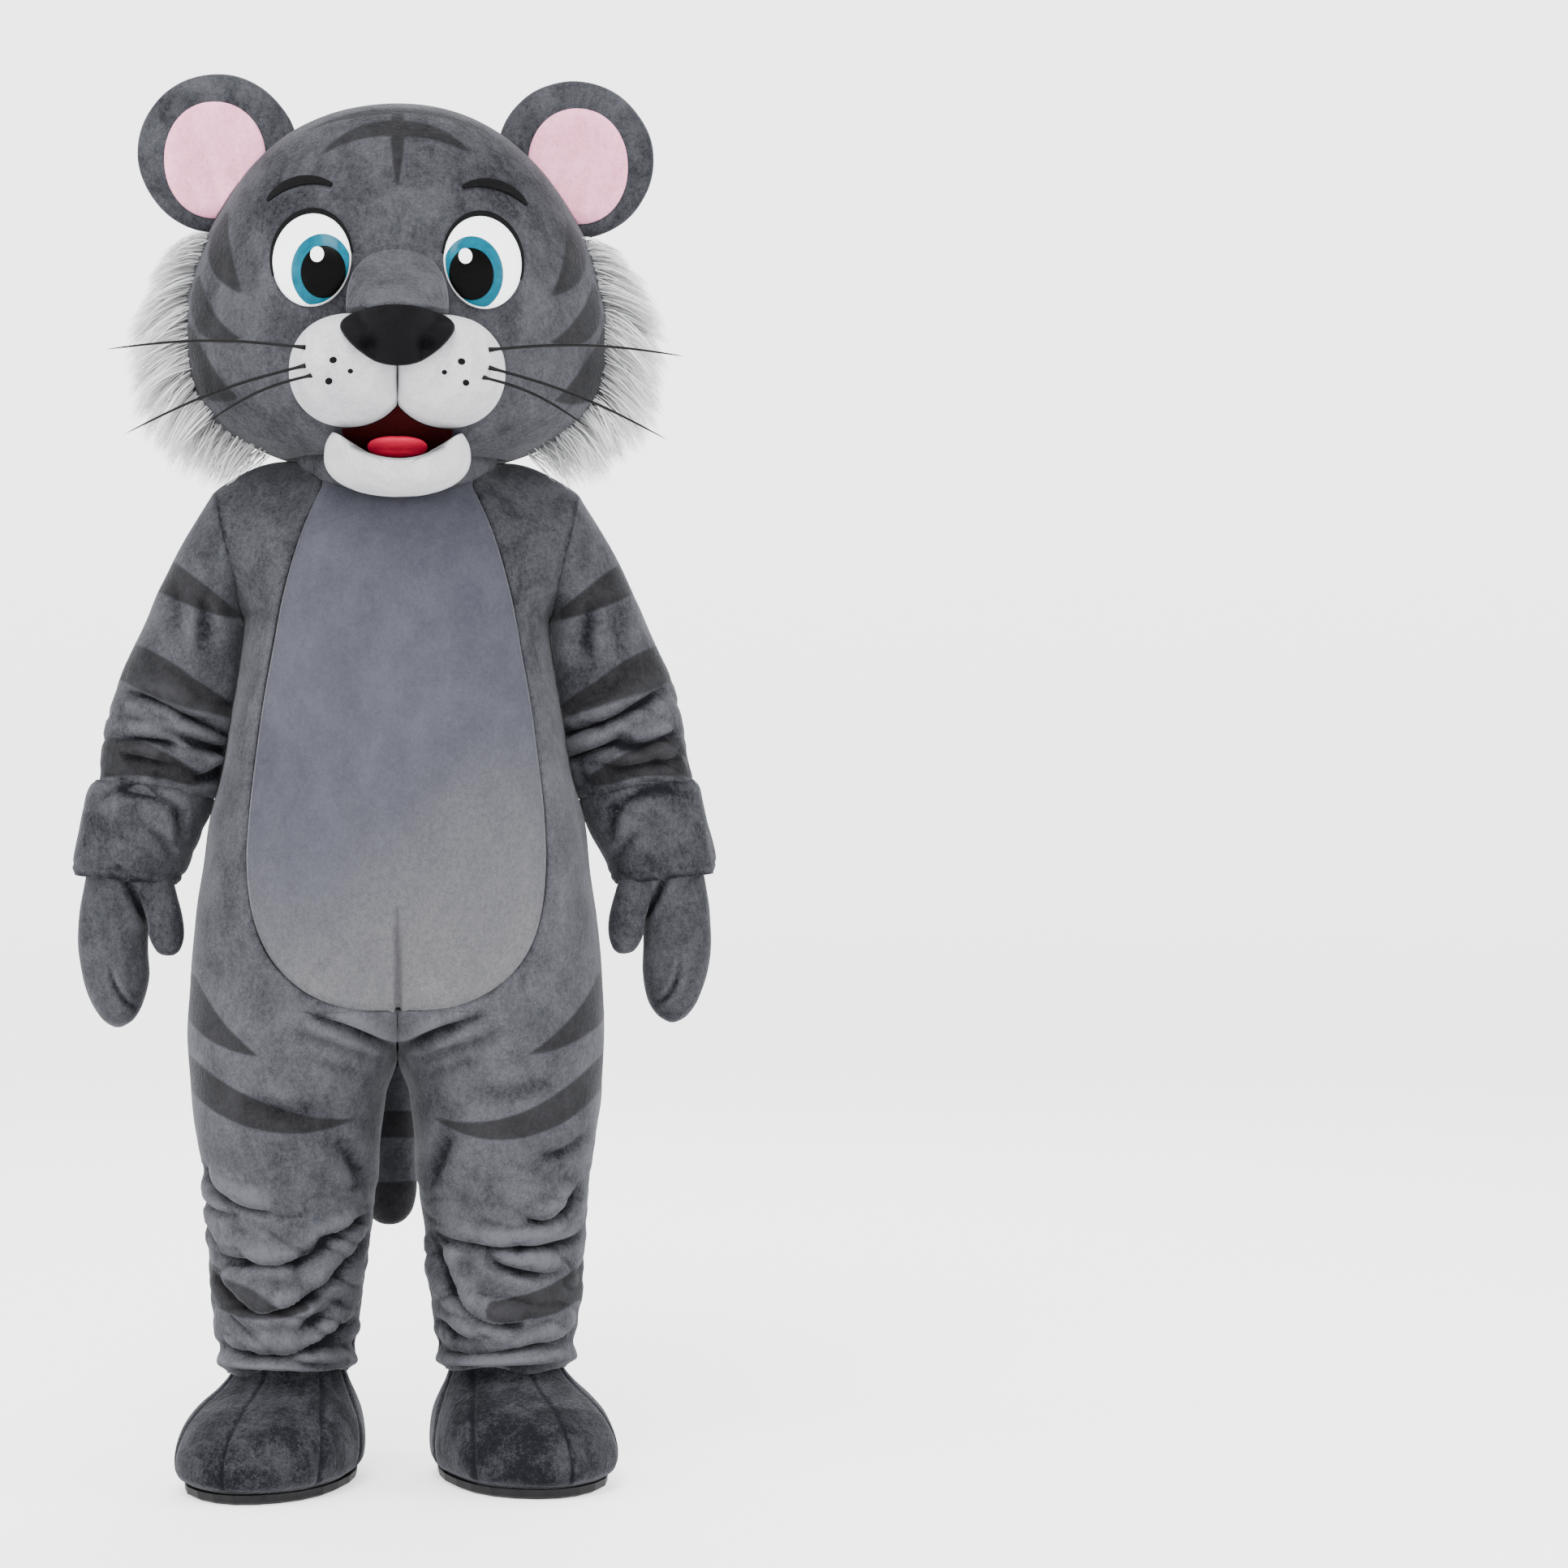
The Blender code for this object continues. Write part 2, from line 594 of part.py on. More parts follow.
def make_front(label, side):
    """A front from shoulder to hem, cut round the belly panel."""
    grid = []
    for level in LEG_ROWS + FORK_ROWS + FRONT_BODY_ROWS + YOKE_ROWS:
        start = belly_seam(side, level, SEAM / 2) if level > BELLY_BOTTOM else 0.0
        grid.append([(front_across(start, part), level) for part in FRONT_COLUMNS])

    def surface(across, level):
        return body_point(side, FRONT, across, level)

    wall("front_" + label, surface, grid, lambda across, level: body_core(side, level), CLOTH, PLUSH,
         own_side(side, FRONT))


def make_back(label, side):
    """A back from shoulder to hem, along the centre-back seam with its concealed zip."""
    def surface(across, level):
        return body_point(side, BACK, across, level)

    grid = [[(across, level) for across in BACK_COLUMNS]
            for level in LEG_ROWS + FORK_ROWS + BACK_BODY_ROWS + YOKE_ROWS]
    wall("back_" + label, surface, grid, lambda across, level: body_core(side, level), CLOTH, PLUSH,
         own_side(side, BACK))


def make_belly():
    """The oval belly panel, set in between the two fronts."""
    def surface(across, level):
        return body_point(LEFT if across < 0 else RIGHT, FRONT, abs(across), level)

    point_half_width = 0.008
    grid = [[(point_half_width * part, BELLY_BOTTOM + 1.5 * SEAM) for part in BELLY_COLUMNS]]
    for level in FRONT_BODY_ROWS[1:] + YOKE_ROWS:
        edge = belly_seam(RIGHT, level, -SEAM / 2)
        grid.append([(edge * part, level) for part in BELLY_COLUMNS])
    wall("belly", surface, grid, lambda across, level: Vector((0, 0, min(level, 1.2))), CLOTH, SHORT_PLUSH,
         lambda point: outside_neck(point) if point.z > ARMPIT else point)


def make_collar():
    """The neck band, standing inside the neckline and up into the head."""
    def surface(turn, rise):
        angle = 2 * pi * turn
        face = FRONT if cos(angle) > 0 else BACK
        deep = (NECK_FRONT if face == FRONT else NECK_BACK) - 2 * SEAM
        base = neck_point(RIGHT, face, 1 - abs(abs(angle / pi * 2 % 4 - 2) - 1)).z
        height = base - CLOTH + rise * (COLLAR_TOP - base + CLOTH)
        return Vector(((NECK_WIDE - 2 * SEAM) * sin(angle), -deep * cos(angle), height))

    grid = [[(spot / NECK_SPOTS, rise) for spot in range(NECK_SPOTS)] for rise in (0.0, 0.5, 1.0)]
    wall("collar", surface, grid, lambda turn, rise: Vector((0, 0, 1.37)), CLOTH, PLUSH, closed=True)


# ---------------------------------------------------------------- sleeves, cuffs and gloves

def tube_point(table, side, turn, station):
    """A point round a tube whose table gives the ends of each section's long axis."""
    def end(name):
        return Vector((side * at_station(table, name + "_x", station), 0,
                       at_station(table, name + "_z", station)))

    middle, arm = (end("out") + end("in")) / 2, (end("out") - end("in")) / 2
    depth = at_station(table, "depth", station)
    angle = 2 * pi * turn
    return middle + arm * cos(angle) - Vector((0, depth * sin(angle), 0))


def tube_core(table, side, station):
    return (tube_point(table, side, 0, station) + tube_point(table, side, 0.5, station)) / 2


def tube_grid(stations, spots):
    return [[(spot / spots, station) for spot in range(spots)] for station in stations]


def sleeve_point(side, turn, station):
    """A sleeve's outer side, pressed in along its creases."""
    point = tube_point(SLEEVE, side, turn, station)
    core = tube_core(SLEEVE, side, station)
    depth = 0.0
    for middle, angle, reach, deep, width, slope in SLEEVE_CREASES[1:]:
        along = ((turn * 360 - angle + 180) % 360 - 180) / reach
        offset = (station - middle - slope * along) / width
        depth += deep * max(0.0, 1 - along ** 2) ** 1.5 * exp(-offset ** 2)
    return point + (core - point).normalized() * depth


def make_sleeve(label, side):
    stations = [0, 0.5, 1, 1.5, 2, 2.5, 3, 3.4, 3.8, 4.2, 4.6, 5, 5.4, 5.8, 6.2, 7, 8]
    last = len(SLEEVE) - 2

    def surface(turn, station):
        return sleeve_point(side, turn, min(max(station, 0), last))

    def core(turn, station):
        return tube_core(SLEEVE, side, station)

    wall("sleeve_" + label, surface, tube_grid(stations, 14), core, CLOTH, PLUSH,
         lambda point: beside_armhole(point, side, 1) if point.z > ARMPIT - CLOTH else point, closed=True)


def make_cuff(label, side):
    """The deep turned band at the sleeve's end."""
    def surface(turn, station):
        return tube_point(CUFF, side, turn, station)

    def core(turn, station):
        return tube_core(CUFF, side, station)

    wall("cuff_" + label, surface, tube_grid([0, 1, 2, 3, 4], 14), core, CLOTH, PLUSH, closed=True)


def make_glove(label, side):
    """A stuffed-looking mitten: a hollow hand, and a thumb sewn to its inner edge."""
    for name, table, forward in (("hand", HAND, 0.0), ("thumb", THUMB, THUMB_FORWARD)):
        last = len(table) - 2
        stations = list(range(last + 1))

        def surface(turn, station, table=table, forward=forward):
            return tube_point(table, side, turn, station) - Vector((0, forward, 0))

        def core(turn, station, table=table, forward=forward):
            return tube_core(table, side, station) - Vector((0, forward, 0))

        def keep(point, name=name):
            return outside_hand(point, side) if name == "thumb" else point

        grid = tube_grid(stations, 12 if name == "hand" else 10)
        closed_tube(f"glove_{name}_{label}", surface, grid, core, keep)


def outside_hand(point, side):
    """Moves a thumb's point out of the hand, on the level of the point."""
    station = solve(lambda spot: point.z - tube_core(HAND, side, spot).z, 0, len(HAND) - 2)
    middle = tube_core(HAND, side, station)
    half = (tube_point(HAND, side, 0, station) - middle).length + THUMB_GAP
    depth = at_station(HAND, "depth", station) + THUMB_GAP
    reach = sqrt(((point.x - middle.x) / half) ** 2 + (point.y / depth) ** 2)
    if reach >= 1:
        return point
    return Vector((middle.x + (point.x - middle.x) / reach, point.y / reach, point.z))


def closed_tube(name, surface, grid, core, keep):
    """A hollow tube of cloth whose last row is drawn together into a closed end."""
    tip, before = core(0, grid[-1][0][1]), core(0, grid[-2][0][1])
    outer = [[keep(surface(u, v)) for u, v in row] for row in grid]
    inner = [[keep(surface(u, v) - CLOTH * outward(surface, u, v, core(u, v))) for u, v in row]
             for row in grid]
    count, rows = len(grid[0]), len(grid)
    points = [point for side in (outer, inner) for row in side for point in row]
    down = (tip - before).normalized()
    points += [tip + TIP_ROUND * down, tip + (TIP_ROUND - CLOTH) * down]
    faces = []
    for side in (0, 1):
        base = side * rows * count
        last = base + (rows - 1) * count
        for spot in range(count):
            after = (spot + 1) % count
            for low in range(base, last, count):
                high = low + count
                faces.append([low + spot, low + after, high + after, high + spot])
            faces.append([last + spot, last + after, len(points) - 2 + side])
    for spot in range(count):
        after = (spot + 1) % count
        faces.append([spot, after, rows * count + after, rows * count + spot])
    return mesh_piece(name, points, faces, PLUSH)


# ---------------------------------------------------------------- shoe covers

def shoe_outline(side, turn, height):
    """A shoe cover's section: an egg, wide at the ball of the foot, turned out at the toe."""
    wide, toe, heel = (at_key(SHOE, name, height) for name in ("wide", "toe", "heel"))
    angle = 2 * pi * turn
    length, middle = (toe + heel) / 2, (toe - heel) / 2
    forward = middle + length * cos(angle)
    ball = 1 - 0.17 * max(0.0, (middle - forward) / length) * (length - wide) / length * 2
    across = wide * sin(angle) * ball * (1 + 0.06 * sin(2 * angle) ** 2)
    turned = side * TOE_OUT
    x = across * cos(turned) + forward * sin(turned)
    y = across * sin(turned) - forward * cos(turned)
    return Vector((side * ANKLE_X + x, y, height))


def make_shoe(label, side):
    def surface(turn, height):
        return shoe_outline(side, turn, height)

    def core(turn, height):
        return (surface(0, height) + surface(0.5, height)) / 2

    heights = column(SHOE, "height")
    grid = [[(spot / 18, height) for spot in range(18)] for height in heights]
    wall("shoe_upper_" + label, surface, grid, core, SHOE_WALL, PLUSH, closed=True)
    rings = []
    for height, inset in ((0.0, 0.012), (0.004, 0.004), (SOLE, 0.003)):
        ring = []
        for spot in range(24):
            edge = shoe_outline(side, spot / 24, heights[0])
            middle = core(0, heights[0])
            ring.append(Vector((*(edge - (edge - middle).normalized() * inset).xy, height)))
        rings.append(ring)
    loft("shoe_sole_" + label, rings, RUBBER)


# ---------------------------------------------------------------- the head shell

def head_point(turn, station):
    """A point on the head: turn 0 is the face's centre, 0.5 the back's, the right side first."""
    wide, front, back, height = (at_station(HEAD, name, station)
                                 for name in ("wide", "front", "back", "height"))
    angle = 2 * pi * turn
    deep = front if cos(angle) > 0 else back
    return Vector((wide * sin(angle), HEAD_SEAM_Y - deep * cos(angle), height))


def head_station(height):
    """The station of a height on the head."""
    return solve(lambda station: at_station(HEAD, "height", station) - height, 0, len(HEAD) - 2)


def face_y(x, height):
    """How far forward the face is at a place on the front view."""
    station = head_station(height)
    wide, front = at_station(HEAD, "wide", station), at_station(HEAD, "front", station)
    return HEAD_SEAM_Y - front * sqrt(max(0.0, 1 - (x / wide) ** 2))


def make_head():
    """The face panel and the two back panels of the foam head, open at the neck."""
    last = len(HEAD) - 2
    stations = list(range(last)) + [last - 1e-4]

    def core(turn, station):
        return Vector((0, 0, 1.58))

    def face_side(point):
        return Vector((point.x, min(point.y, HEAD_SEAM_Y - SEAM / 2), point.z))

    face_grid = [[(-0.25 + 0.5 * spot / 14, station) for spot in range(15)] for station in stations]
    wall("head_face", head_point, face_grid, core, FOAM, PLUSH, face_side)
    for label, side in SIDES:
        def back_side(point, side=side):
            return Vector((side * max(side * point.x, SEAM / 2), max(point.y, HEAD_SEAM_Y + SEAM / 2),
                           point.z))

        grid = [[(side * (0.25 + 0.25 * spot / 6), station) for spot in range(7)] for station in stations]
        wall("head_back_" + label, head_point, grid, core, FOAM, PLUSH, back_side)


# ---------------------------------------------------------------- ears and ruffs

def make_ear(label, side):
    """A cupped ear: a plush shell standing on the head, and a pink lining in its dish."""
    centre = (side * EAR_X, EAR_HEIGHT)

    def to_head(angle, radius, gap):
        """The ear's reach along a spoke, stopped short of the head."""
        def clear(distance):
            x, z = centre[0] + distance * cos(angle), centre[1] + distance * sin(angle)
            station = head_station(z)
            return at_station(HEAD, "wide", station) + gap - abs(x)

        return radius if clear(radius) < 0 else solve(clear, 0.0, radius)

    def ear_front(x, z):
        part = min(1.0, Vector((x - centre[0], z - centre[1])).length / EAR_RADIUS)
        dish = EAR_DISH * max(0.0, 1 - (part / 0.72) ** 2)
        roll = EAR_THICK / 2 * (max(0.0, 1 - part ** 4) ** 0.5)
        return Vector((x, EAR_Y - roll + dish, z))

    def ear_back(x, z):
        part = min(1.0, Vector((x - centre[0], z - centre[1])).length / EAR_RADIUS)
        return Vector((x, EAR_Y + 0.001 + EAR_THICK / 2 * max(0.0, 1 - part ** 3) ** 0.5, z))

    lens("ear_" + label, centre, lambda angle: to_head(angle, EAR_RADIUS, 0.001), ear_front, ear_back,
         4, 20, PLUSH)

    def lining_front(x, z):
        return ear_front(x, z) - Vector((0, REST + LINING_THICK, 0))

    def lining_back(x, z):
        return ear_front(x, z) - Vector((0, REST, 0))

    lens("ear_lining_" + label, centre, lambda angle: to_head(angle, LINING_RADIUS, 0.004), lining_front,
         lining_back, 3, 16, PINK)


def make_ruff(label, side):
    """A cheek ruff: fur locks that stand out from a strip along the head's side."""
    def on_head(y, height, gap):
        station = head_station(height)
        deep = at_station(HEAD, "front" if y < HEAD_SEAM_Y else "back", station)
        x = at_station(HEAD, "wide", station) * sqrt(1 - ((y - HEAD_SEAM_Y) / deep) ** 2)
        return Vector((side * (x + gap), y, height))

    rings = []
    for root, tip_x, tip_z in RUFF[1:]:
        middle = (RUFF_FRONT + RUFF_BACK) / 2
        rings.append([on_head(RUFF_FRONT, root, RUFF_GAP), Vector((side * tip_x, middle + 0.012, tip_z)),
                      on_head(RUFF_BACK, root, RUFF_GAP), on_head(middle, root, RUFF_GAP)])
    loft("ruff_" + label, rings, FUR)


# ---------------------------------------------------------------- the face's pieces

def dome(x, z, centre, wide, tall, rise, square=2.4, crown=2.3):
    """A pad's height over its oval at a place, with its value for the oval, 1 at the edge."""
    part = (abs((x - centre[0]) / wide) ** square + abs((z - centre[1]) / tall) ** square) ** (1 / square)
    return rise * max(0.0, 1 - part ** crown) ** 0.55, part


def muzzle_dome(x, z, side):
    return dome(x, z, (side * MUZZLE_X, MUZZLE_HEIGHT), MUZZLE_WIDE, MUZZLE_TALL, MUZZLE_RISE)


def in_muzzle(x, z, gap=0.0):
    return any(muzzle_dome(x, z, side)[1] < 1 + gap / MUZZLE_TALL for side in (LEFT, RIGHT))


def bridge_rise(x, z):
    """The bridge's ramp, from the brow down to the nose."""
    low = BRIDGE_HEIGHT + BRIDGE_TALL - z
    ramp = min(1.0, max(0.0, low / 0.085))
    return BRIDGE_RISE * ramp ** 1.3 * max(0.0, 1 - (x / (BRIDGE_WIDE * 1.05)) ** 2) ** 0.5


def in_mouth(x, z, gap=0.0):
    part = ((x / (MOUTH_WIDE + gap)) ** 2 + ((z - MOUTH_HEIGHT) / (MOUTH_TALL + gap)) ** 2)
    return part < 1


def spoke_reach(centre, inside):
    """For each angle, how far a spoke runs inside a region before it leaves it."""
    def reach(angle):
        distance, step = 0.0, 0.002
        while inside(centre[0] + (distance + step) * cos(angle), centre[1] + (distance + step) * sin(angle)):
            distance += step
        edge = solve(lambda span: 0.5 - inside(centre[0] + span * cos(angle), centre[1] + span * sin(angle)),
                     distance, distance + step, 20)
        return edge - SEAM / 2

    return reach


def jaw_face_y(x, z):
    """The jaw's back: on the face above its seat, straight down below it."""
    return face_y(x, max(z, JAW_SEAT))


def relief(rise, base=face_y, edge=PAD_EDGE):
    """A pad's front surface from its height over the face."""
    return lambda x, z: Vector((x, base(x, z) - REST - edge - rise(x, z), z))


def seat(base=face_y):
    """A pad's back surface, just off the face."""
    return lambda x, z: Vector((x, base(x, z) - REST, z))


def muzzle_surface(x, z):
    """How far the snout stands out at a place: the larger of its pads and its bridge."""
    pads = max(muzzle_dome(x, z, side)[0] for side in (LEFT, RIGHT))
    return max(pads, bridge_rise(x, z))


def make_snout():
    for label, side in SIDES:
        centre = (side * MUZZLE_X, MUZZLE_HEIGHT)

        def inside(x, z, side=side):
            return muzzle_dome(x, z, side)[1] < 1 and side * x > SEAM / 2

        lens("muzzle_" + label, centre, spoke_reach(centre, inside),
             relief(lambda x, z, side=side: muzzle_dome(x, z, side)[0]), seat(), 4, 18, WHITE)

    def in_bridge(x, z):
        part = dome(x, z, (0, BRIDGE_HEIGHT), BRIDGE_WIDE, BRIDGE_TALL, 1)[1]
        return part < 1 and not in_muzzle(x, z, 0.001)

    centre = (0, BRIDGE_HEIGHT + 0.01)
    lens("snout_bridge", centre, spoke_reach(centre, in_bridge), relief(bridge_rise), seat(), 4, 18, PLUSH)


def make_nose():
    """The black nose, a rounded triangle on the end of the snout."""
    def in_nose(x, z):
        taper = 1 + 0.30 * (z - NOSE_HEIGHT) / NOSE_TALL
        return dome(x / taper, z, (0, NOSE_HEIGHT), NOSE_WIDE, NOSE_TALL, 1, 2.6)[1] < 1

    def nose_base(x, z):
        around = ((0, 0), (NOSE_SEAT, 0), (-NOSE_SEAT, 0), (0, NOSE_SEAT), (0, -NOSE_SEAT))
        under = max(muzzle_surface(x + dx, z + dz) for dx, dz in around)
        return face_y(x, z) - 2 * REST - PAD_EDGE - max(under, NOSE_LEAST)

    def nose_rise(x, z):
        return dome(x, z, (0, NOSE_HEIGHT), NOSE_WIDE * 1.25, NOSE_TALL * 1.15, NOSE_RISE)[0]

    centre = (0, NOSE_HEIGHT)
    lens("nose", centre, spoke_reach(centre, in_nose), relief(nose_rise, nose_base, 0.004),
         lambda x, z: Vector((x, nose_base(x, z), z)), 3, 20, NOSE)


def make_mouth():
    """The open mouth: its lining on the head, the tongue, and the jaw with its lower lip."""
    lining_centre = (0, 1.4020)

    def in_lining(x, z):
        return in_mouth(x, z) and not in_muzzle(x, z, 0.001)

    def lining_base(x, z):
        return jaw_face_y(x, z) - 2 * REST

    lining = relief(lambda x, z: 0, lining_base, 0.003)
    lens("mouth_lining", lining_centre, spoke_reach(lining_centre, in_lining), lining, seat(lining_base),
         4, 20, DARK_RED)

    def tongue_base(x, z):
        return lining(x, z).y - TONGUE_GAP

    tongue_centre = (0, TONGUE_HEIGHT)

    def in_tongue(x, z):
        inside_oval = dome(x, z, tongue_centre, TONGUE_WIDE, TONGUE_TALL, 1, 2.2)[1] < 1
        return inside_oval and in_mouth(x, z, -TONGUE_GAP)

    lens("tongue", tongue_centre, spoke_reach(tongue_centre, in_tongue),
         relief(lambda x, z: dome(x, z, tongue_centre, TONGUE_WIDE, TONGUE_TALL, TONGUE_RISE)[0],
                tongue_base, 0.003), seat(tongue_base), 3, 16, TONGUE)

    def jaw_dome(x, z):
        return dome(x, z, (0, JAW_HEIGHT), JAW_WIDE, JAW_TALL, JAW_RISE, 2.5, 4)

    def in_jaw(x, z):
        return jaw_dome(x, z)[1] < 1 and not in_mouth(x, z, SEAM) and not in_muzzle(x, z, 0.001)

    jaw_centre = (0, 1.3530)
    lens("jaw", jaw_centre, spoke_reach(jaw_centre, in_jaw),
         relief(lambda x, z: jaw_dome(x, z)[0], jaw_face_y, 0.010), seat(jaw_face_y), 3, 26, WHITE)


def make_eye(label, side):
    """A domed oval eye."""
    centre = (side * EYE_X, EYE_HEIGHT)

    def eye_rise(x, z):
        return dome(x, z, centre, EYE_WIDE, EYE_TALL, EYE_RISE, 2)[0]

    reach = spoke_reach(centre, lambda x, z: dome(x, z, centre, EYE_WIDE, EYE_TALL, 1, 2)[1] < 1)
    lens("eye_" + label, centre, reach, relief(eye_rise, face_y, 0.003), seat(), 3, 18, EYE)


def make_brow(label, side):
    """A tapered felt arc over the eye."""
    thick = 0.003

    def surface(across, turn):
        angle = radians(42 + 92 * turn)
        half = BROW_WIDE * max(0.12, sin(pi * (0.08 + 0.84 * turn))) ** 0.7
        radius = BROW_RADIUS + half * across
        x, z = side * (BROW_X - radius * cos(angle) * 1.05), BROW_HEIGHT + radius * sin(angle)
        return Vector((x, face_y(x, z) - REST - thick, z))

    grid = [[(-1 + spot, step / 10) for spot in range(3)] for step in range(11)]
    wall("brow_" + label, surface, grid, lambda across, turn: Vector((0, 0, 1.6)), thick, FELT)


def make_whiskers(label, side):
    """Three stiff whiskers, set into the muzzle pad."""
    for number, (root_x, root_z, tip_x, tip_y, tip_z, clear) in enumerate(WHISKERS[1:], start=1):
        root = relief(lambda x, z: muzzle_dome(x, z, side)[0])(side * root_x, root_z)
        tip = Vector((side * tip_x, tip_y, tip_z))
        root += (tip - root).normalized() * clear
        curve = bpy.data.curves.new(f"whisker_{label}_{number}", "CURVE")
        curve.dimensions = "3D"
        curve.bevel_depth = WHISKER_RADIUS
        curve.bevel_resolution = 0
        curve.use_fill_caps = True
        spline = curve.splines.new("POLY")
        steps = 6
        spline.points.add(steps)
        for index in range(steps + 1):
            part = index / steps
            point = root.lerp(tip, part) + Vector((0, 0, 0.008 * sin(pi * part)))
            spline.points[index].co = (*point, 1)
            spline.points[index].radius = 1 - 0.5 * part
        place(curve.name, curve, FELT)


# ---------------------------------------------------------------- tail

def make_tail():
    """The stuffed tail, its root cut to lie against the seat."""
    spots = 12

    def ring(station):
        centre = Vector((at_station(TAIL, name, station) for name in "xyz"))
        ahead = Vector((at_station(TAIL, name, station + 0.05) for name in "xyz"))
        behind = Vector((at_station(TAIL, name, station - 0.05) for name in "xyz"))
        along = (ahead - behind).normalized()
        across = Vector((1, 0, 0))
        up = along.cross(across).normalized()
        radius = max(at_station(TAIL, "radius", station), 0.004)
        return [centre + radius * (across * cos(2 * pi * spot / spots) + up * sin(2 * pi * spot / spots))
                for spot in range(spots)]

    rings = [ring(station) for station in range(len(TAIL) - 1)]
    middle_x, middle_z, radius = (column(TAIL, name)[0] for name in ("x", "z", "radius"))
    root = []
    for spot in range(spots):
        angle = 2 * pi * spot / spots
        x, z = middle_x + radius * cos(angle), middle_z - radius * sin(angle)
        part = x / at_key(BODY, "side", z)
        seat_y = at_key(BODY, "back", z) * sqrt(1 - part ** 2) * (1 + 4 * at_key(BODY, "full", z) * part ** 2)
        root.append(Vector((x, seat_y + TAIL_GAP, z)))
    loft("tail", [root] + rings[1:], PLUSH)


# ---------------------------------------------------------------- the whole costume

clear_scene()
collection = bpy.data.collections.new("tiger_mascot_costume")
bpy.context.scene.collection.children.link(collection)
hold = bpy.data.objects.new("hold", None)
hold.location.z = -HOLD_HEIGHT
collection.objects.link(hold)

PLUSH = finish("grey_plush", (0.16, 0.16, 0.185), 0.95)
SHORT_PLUSH = finish("belly_plush", (0.19, 0.19, 0.215), 0.9)
WHITE = finish("white_plush", (0.75, 0.75, 0.75), 0.95)
FUR = finish("white_fur", (0.70, 0.70, 0.70), 0.95)
PINK = finish("pink_plush", (0.78, 0.50, 0.60), 0.9)
NOSE = finish("nose", (0.02, 0.02, 0.022), 0.4)
FELT = finish("black_felt", (0.02, 0.02, 0.02), 0.8)
DARK_RED = finish("mouth_cloth", (0.05, 0.01, 0.012), 0.9)
TONGUE = finish("tongue_cloth", (0.80, 0.08, 0.14), 0.7)
EYE = finish("eye_plastic", (0.85, 0.85, 0.85), 0.2)
RUBBER = finish("sole_rubber", (0.02, 0.02, 0.02), 0.7)

make_belly()
make_collar()
make_tail()
make_head()
make_snout()
make_nose()
make_mouth()
for name, direction in SIDES:
    make_front(name, direction)
    make_back(name, direction)
    make_sleeve(name, direction)
    make_cuff(name, direction)
    make_glove(name, direction)
    make_shoe(name, direction)
    make_ear(name, direction)
    make_ruff(name, direction)
    make_eye(name, direction)
    make_brow(name, direction)
    make_whiskers(name, direction)
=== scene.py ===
from math import pi, radians

import bmesh
import bpy
import numpy as np
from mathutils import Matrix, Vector, noise
from mathutils.kdtree import KDTree


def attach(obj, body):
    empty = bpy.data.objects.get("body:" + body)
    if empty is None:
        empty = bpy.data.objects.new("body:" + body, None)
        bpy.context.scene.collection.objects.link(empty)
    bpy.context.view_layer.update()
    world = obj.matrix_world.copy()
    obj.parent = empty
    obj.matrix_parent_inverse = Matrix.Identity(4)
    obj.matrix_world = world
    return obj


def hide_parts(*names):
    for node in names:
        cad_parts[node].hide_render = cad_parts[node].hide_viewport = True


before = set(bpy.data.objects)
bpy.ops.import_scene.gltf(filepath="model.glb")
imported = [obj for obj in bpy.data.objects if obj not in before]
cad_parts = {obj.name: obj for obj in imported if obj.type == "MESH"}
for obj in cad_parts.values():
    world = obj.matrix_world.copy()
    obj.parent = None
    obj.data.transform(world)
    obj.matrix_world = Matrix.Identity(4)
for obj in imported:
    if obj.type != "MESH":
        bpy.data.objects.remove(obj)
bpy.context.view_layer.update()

# Tiger mascot costume as worn: jumpsuit, gloves, shoe covers, tail and a big foam head.
# Left is -X, as seen from the front; heights are above the floor and are lowered by the wearer's neck.
NECK = 1.36


# ---------------------------------------------------------------- studio
# A pale floor that curves up into a pale surround, a broad soft light over the front, one behind and two
# side fills.
def wire(tree, kind, outlet, values, **settings):
    """Adds a node, its values set as constants or linked from other nodes, and returns one of its outputs."""
    step = tree.nodes.new("ShaderNode" + kind)
    for key, value in settings.items():
        setattr(step, key, value)
    for key, value in values.items():
        if isinstance(value, bpy.types.NodeSocket):
            tree.links.new(value, step.inputs[key])
        else:
            step.inputs[key].default_value = value
    return step.outputs[outlet]


def blank(name, roughness, gloss=0.5):
    """A new material with its node tree and the sockets of its shader."""
    material = bpy.data.materials.new(name)
    material.use_nodes = True
    shader = material.node_tree.nodes["Principled BSDF"].inputs
    shader["Roughness"].default_value = roughness
    shader["Specular IOR Level"].default_value = gloss
    return material, material.node_tree, shader


bpy.ops.object.select_all(action="DESELECT")
bpy.ops.mesh.primitive_circle_add(vertices=96, radius=7, fill_type="NGON", location=(0, 0, -NECK))
floor = bpy.context.object
floor.name = "studio_floor"
bpy.ops.object.mode_set(mode="EDIT")
for grow, lift in ((1.25, 0.25), (1.16, 0.9), (1.06, 1.6), (1.01, 3.2)):
    bpy.ops.mesh.extrude_edges_move(TRANSFORM_OT_translate={"value": (0, 0, lift)})
    bpy.ops.transform.resize(value=(grow, grow, 1), center_override=(0, 0, 0))
bpy.ops.object.mode_set(mode="OBJECT")
bpy.ops.object.shade_smooth()
paper, paper_tree, paper_shader = blank("studio_paper", 0.9)
paper_shader["Base Color"].default_value = (0.86, 0.86, 0.86, 1)
paper_shader["Emission Color"].default_value = (1, 1, 1, 1)
paper_place = wire(paper_tree, "TexCoord", "Object", {})
paper_height = wire(paper_tree, "SeparateXYZ", "Z", {"Vector": paper_place})
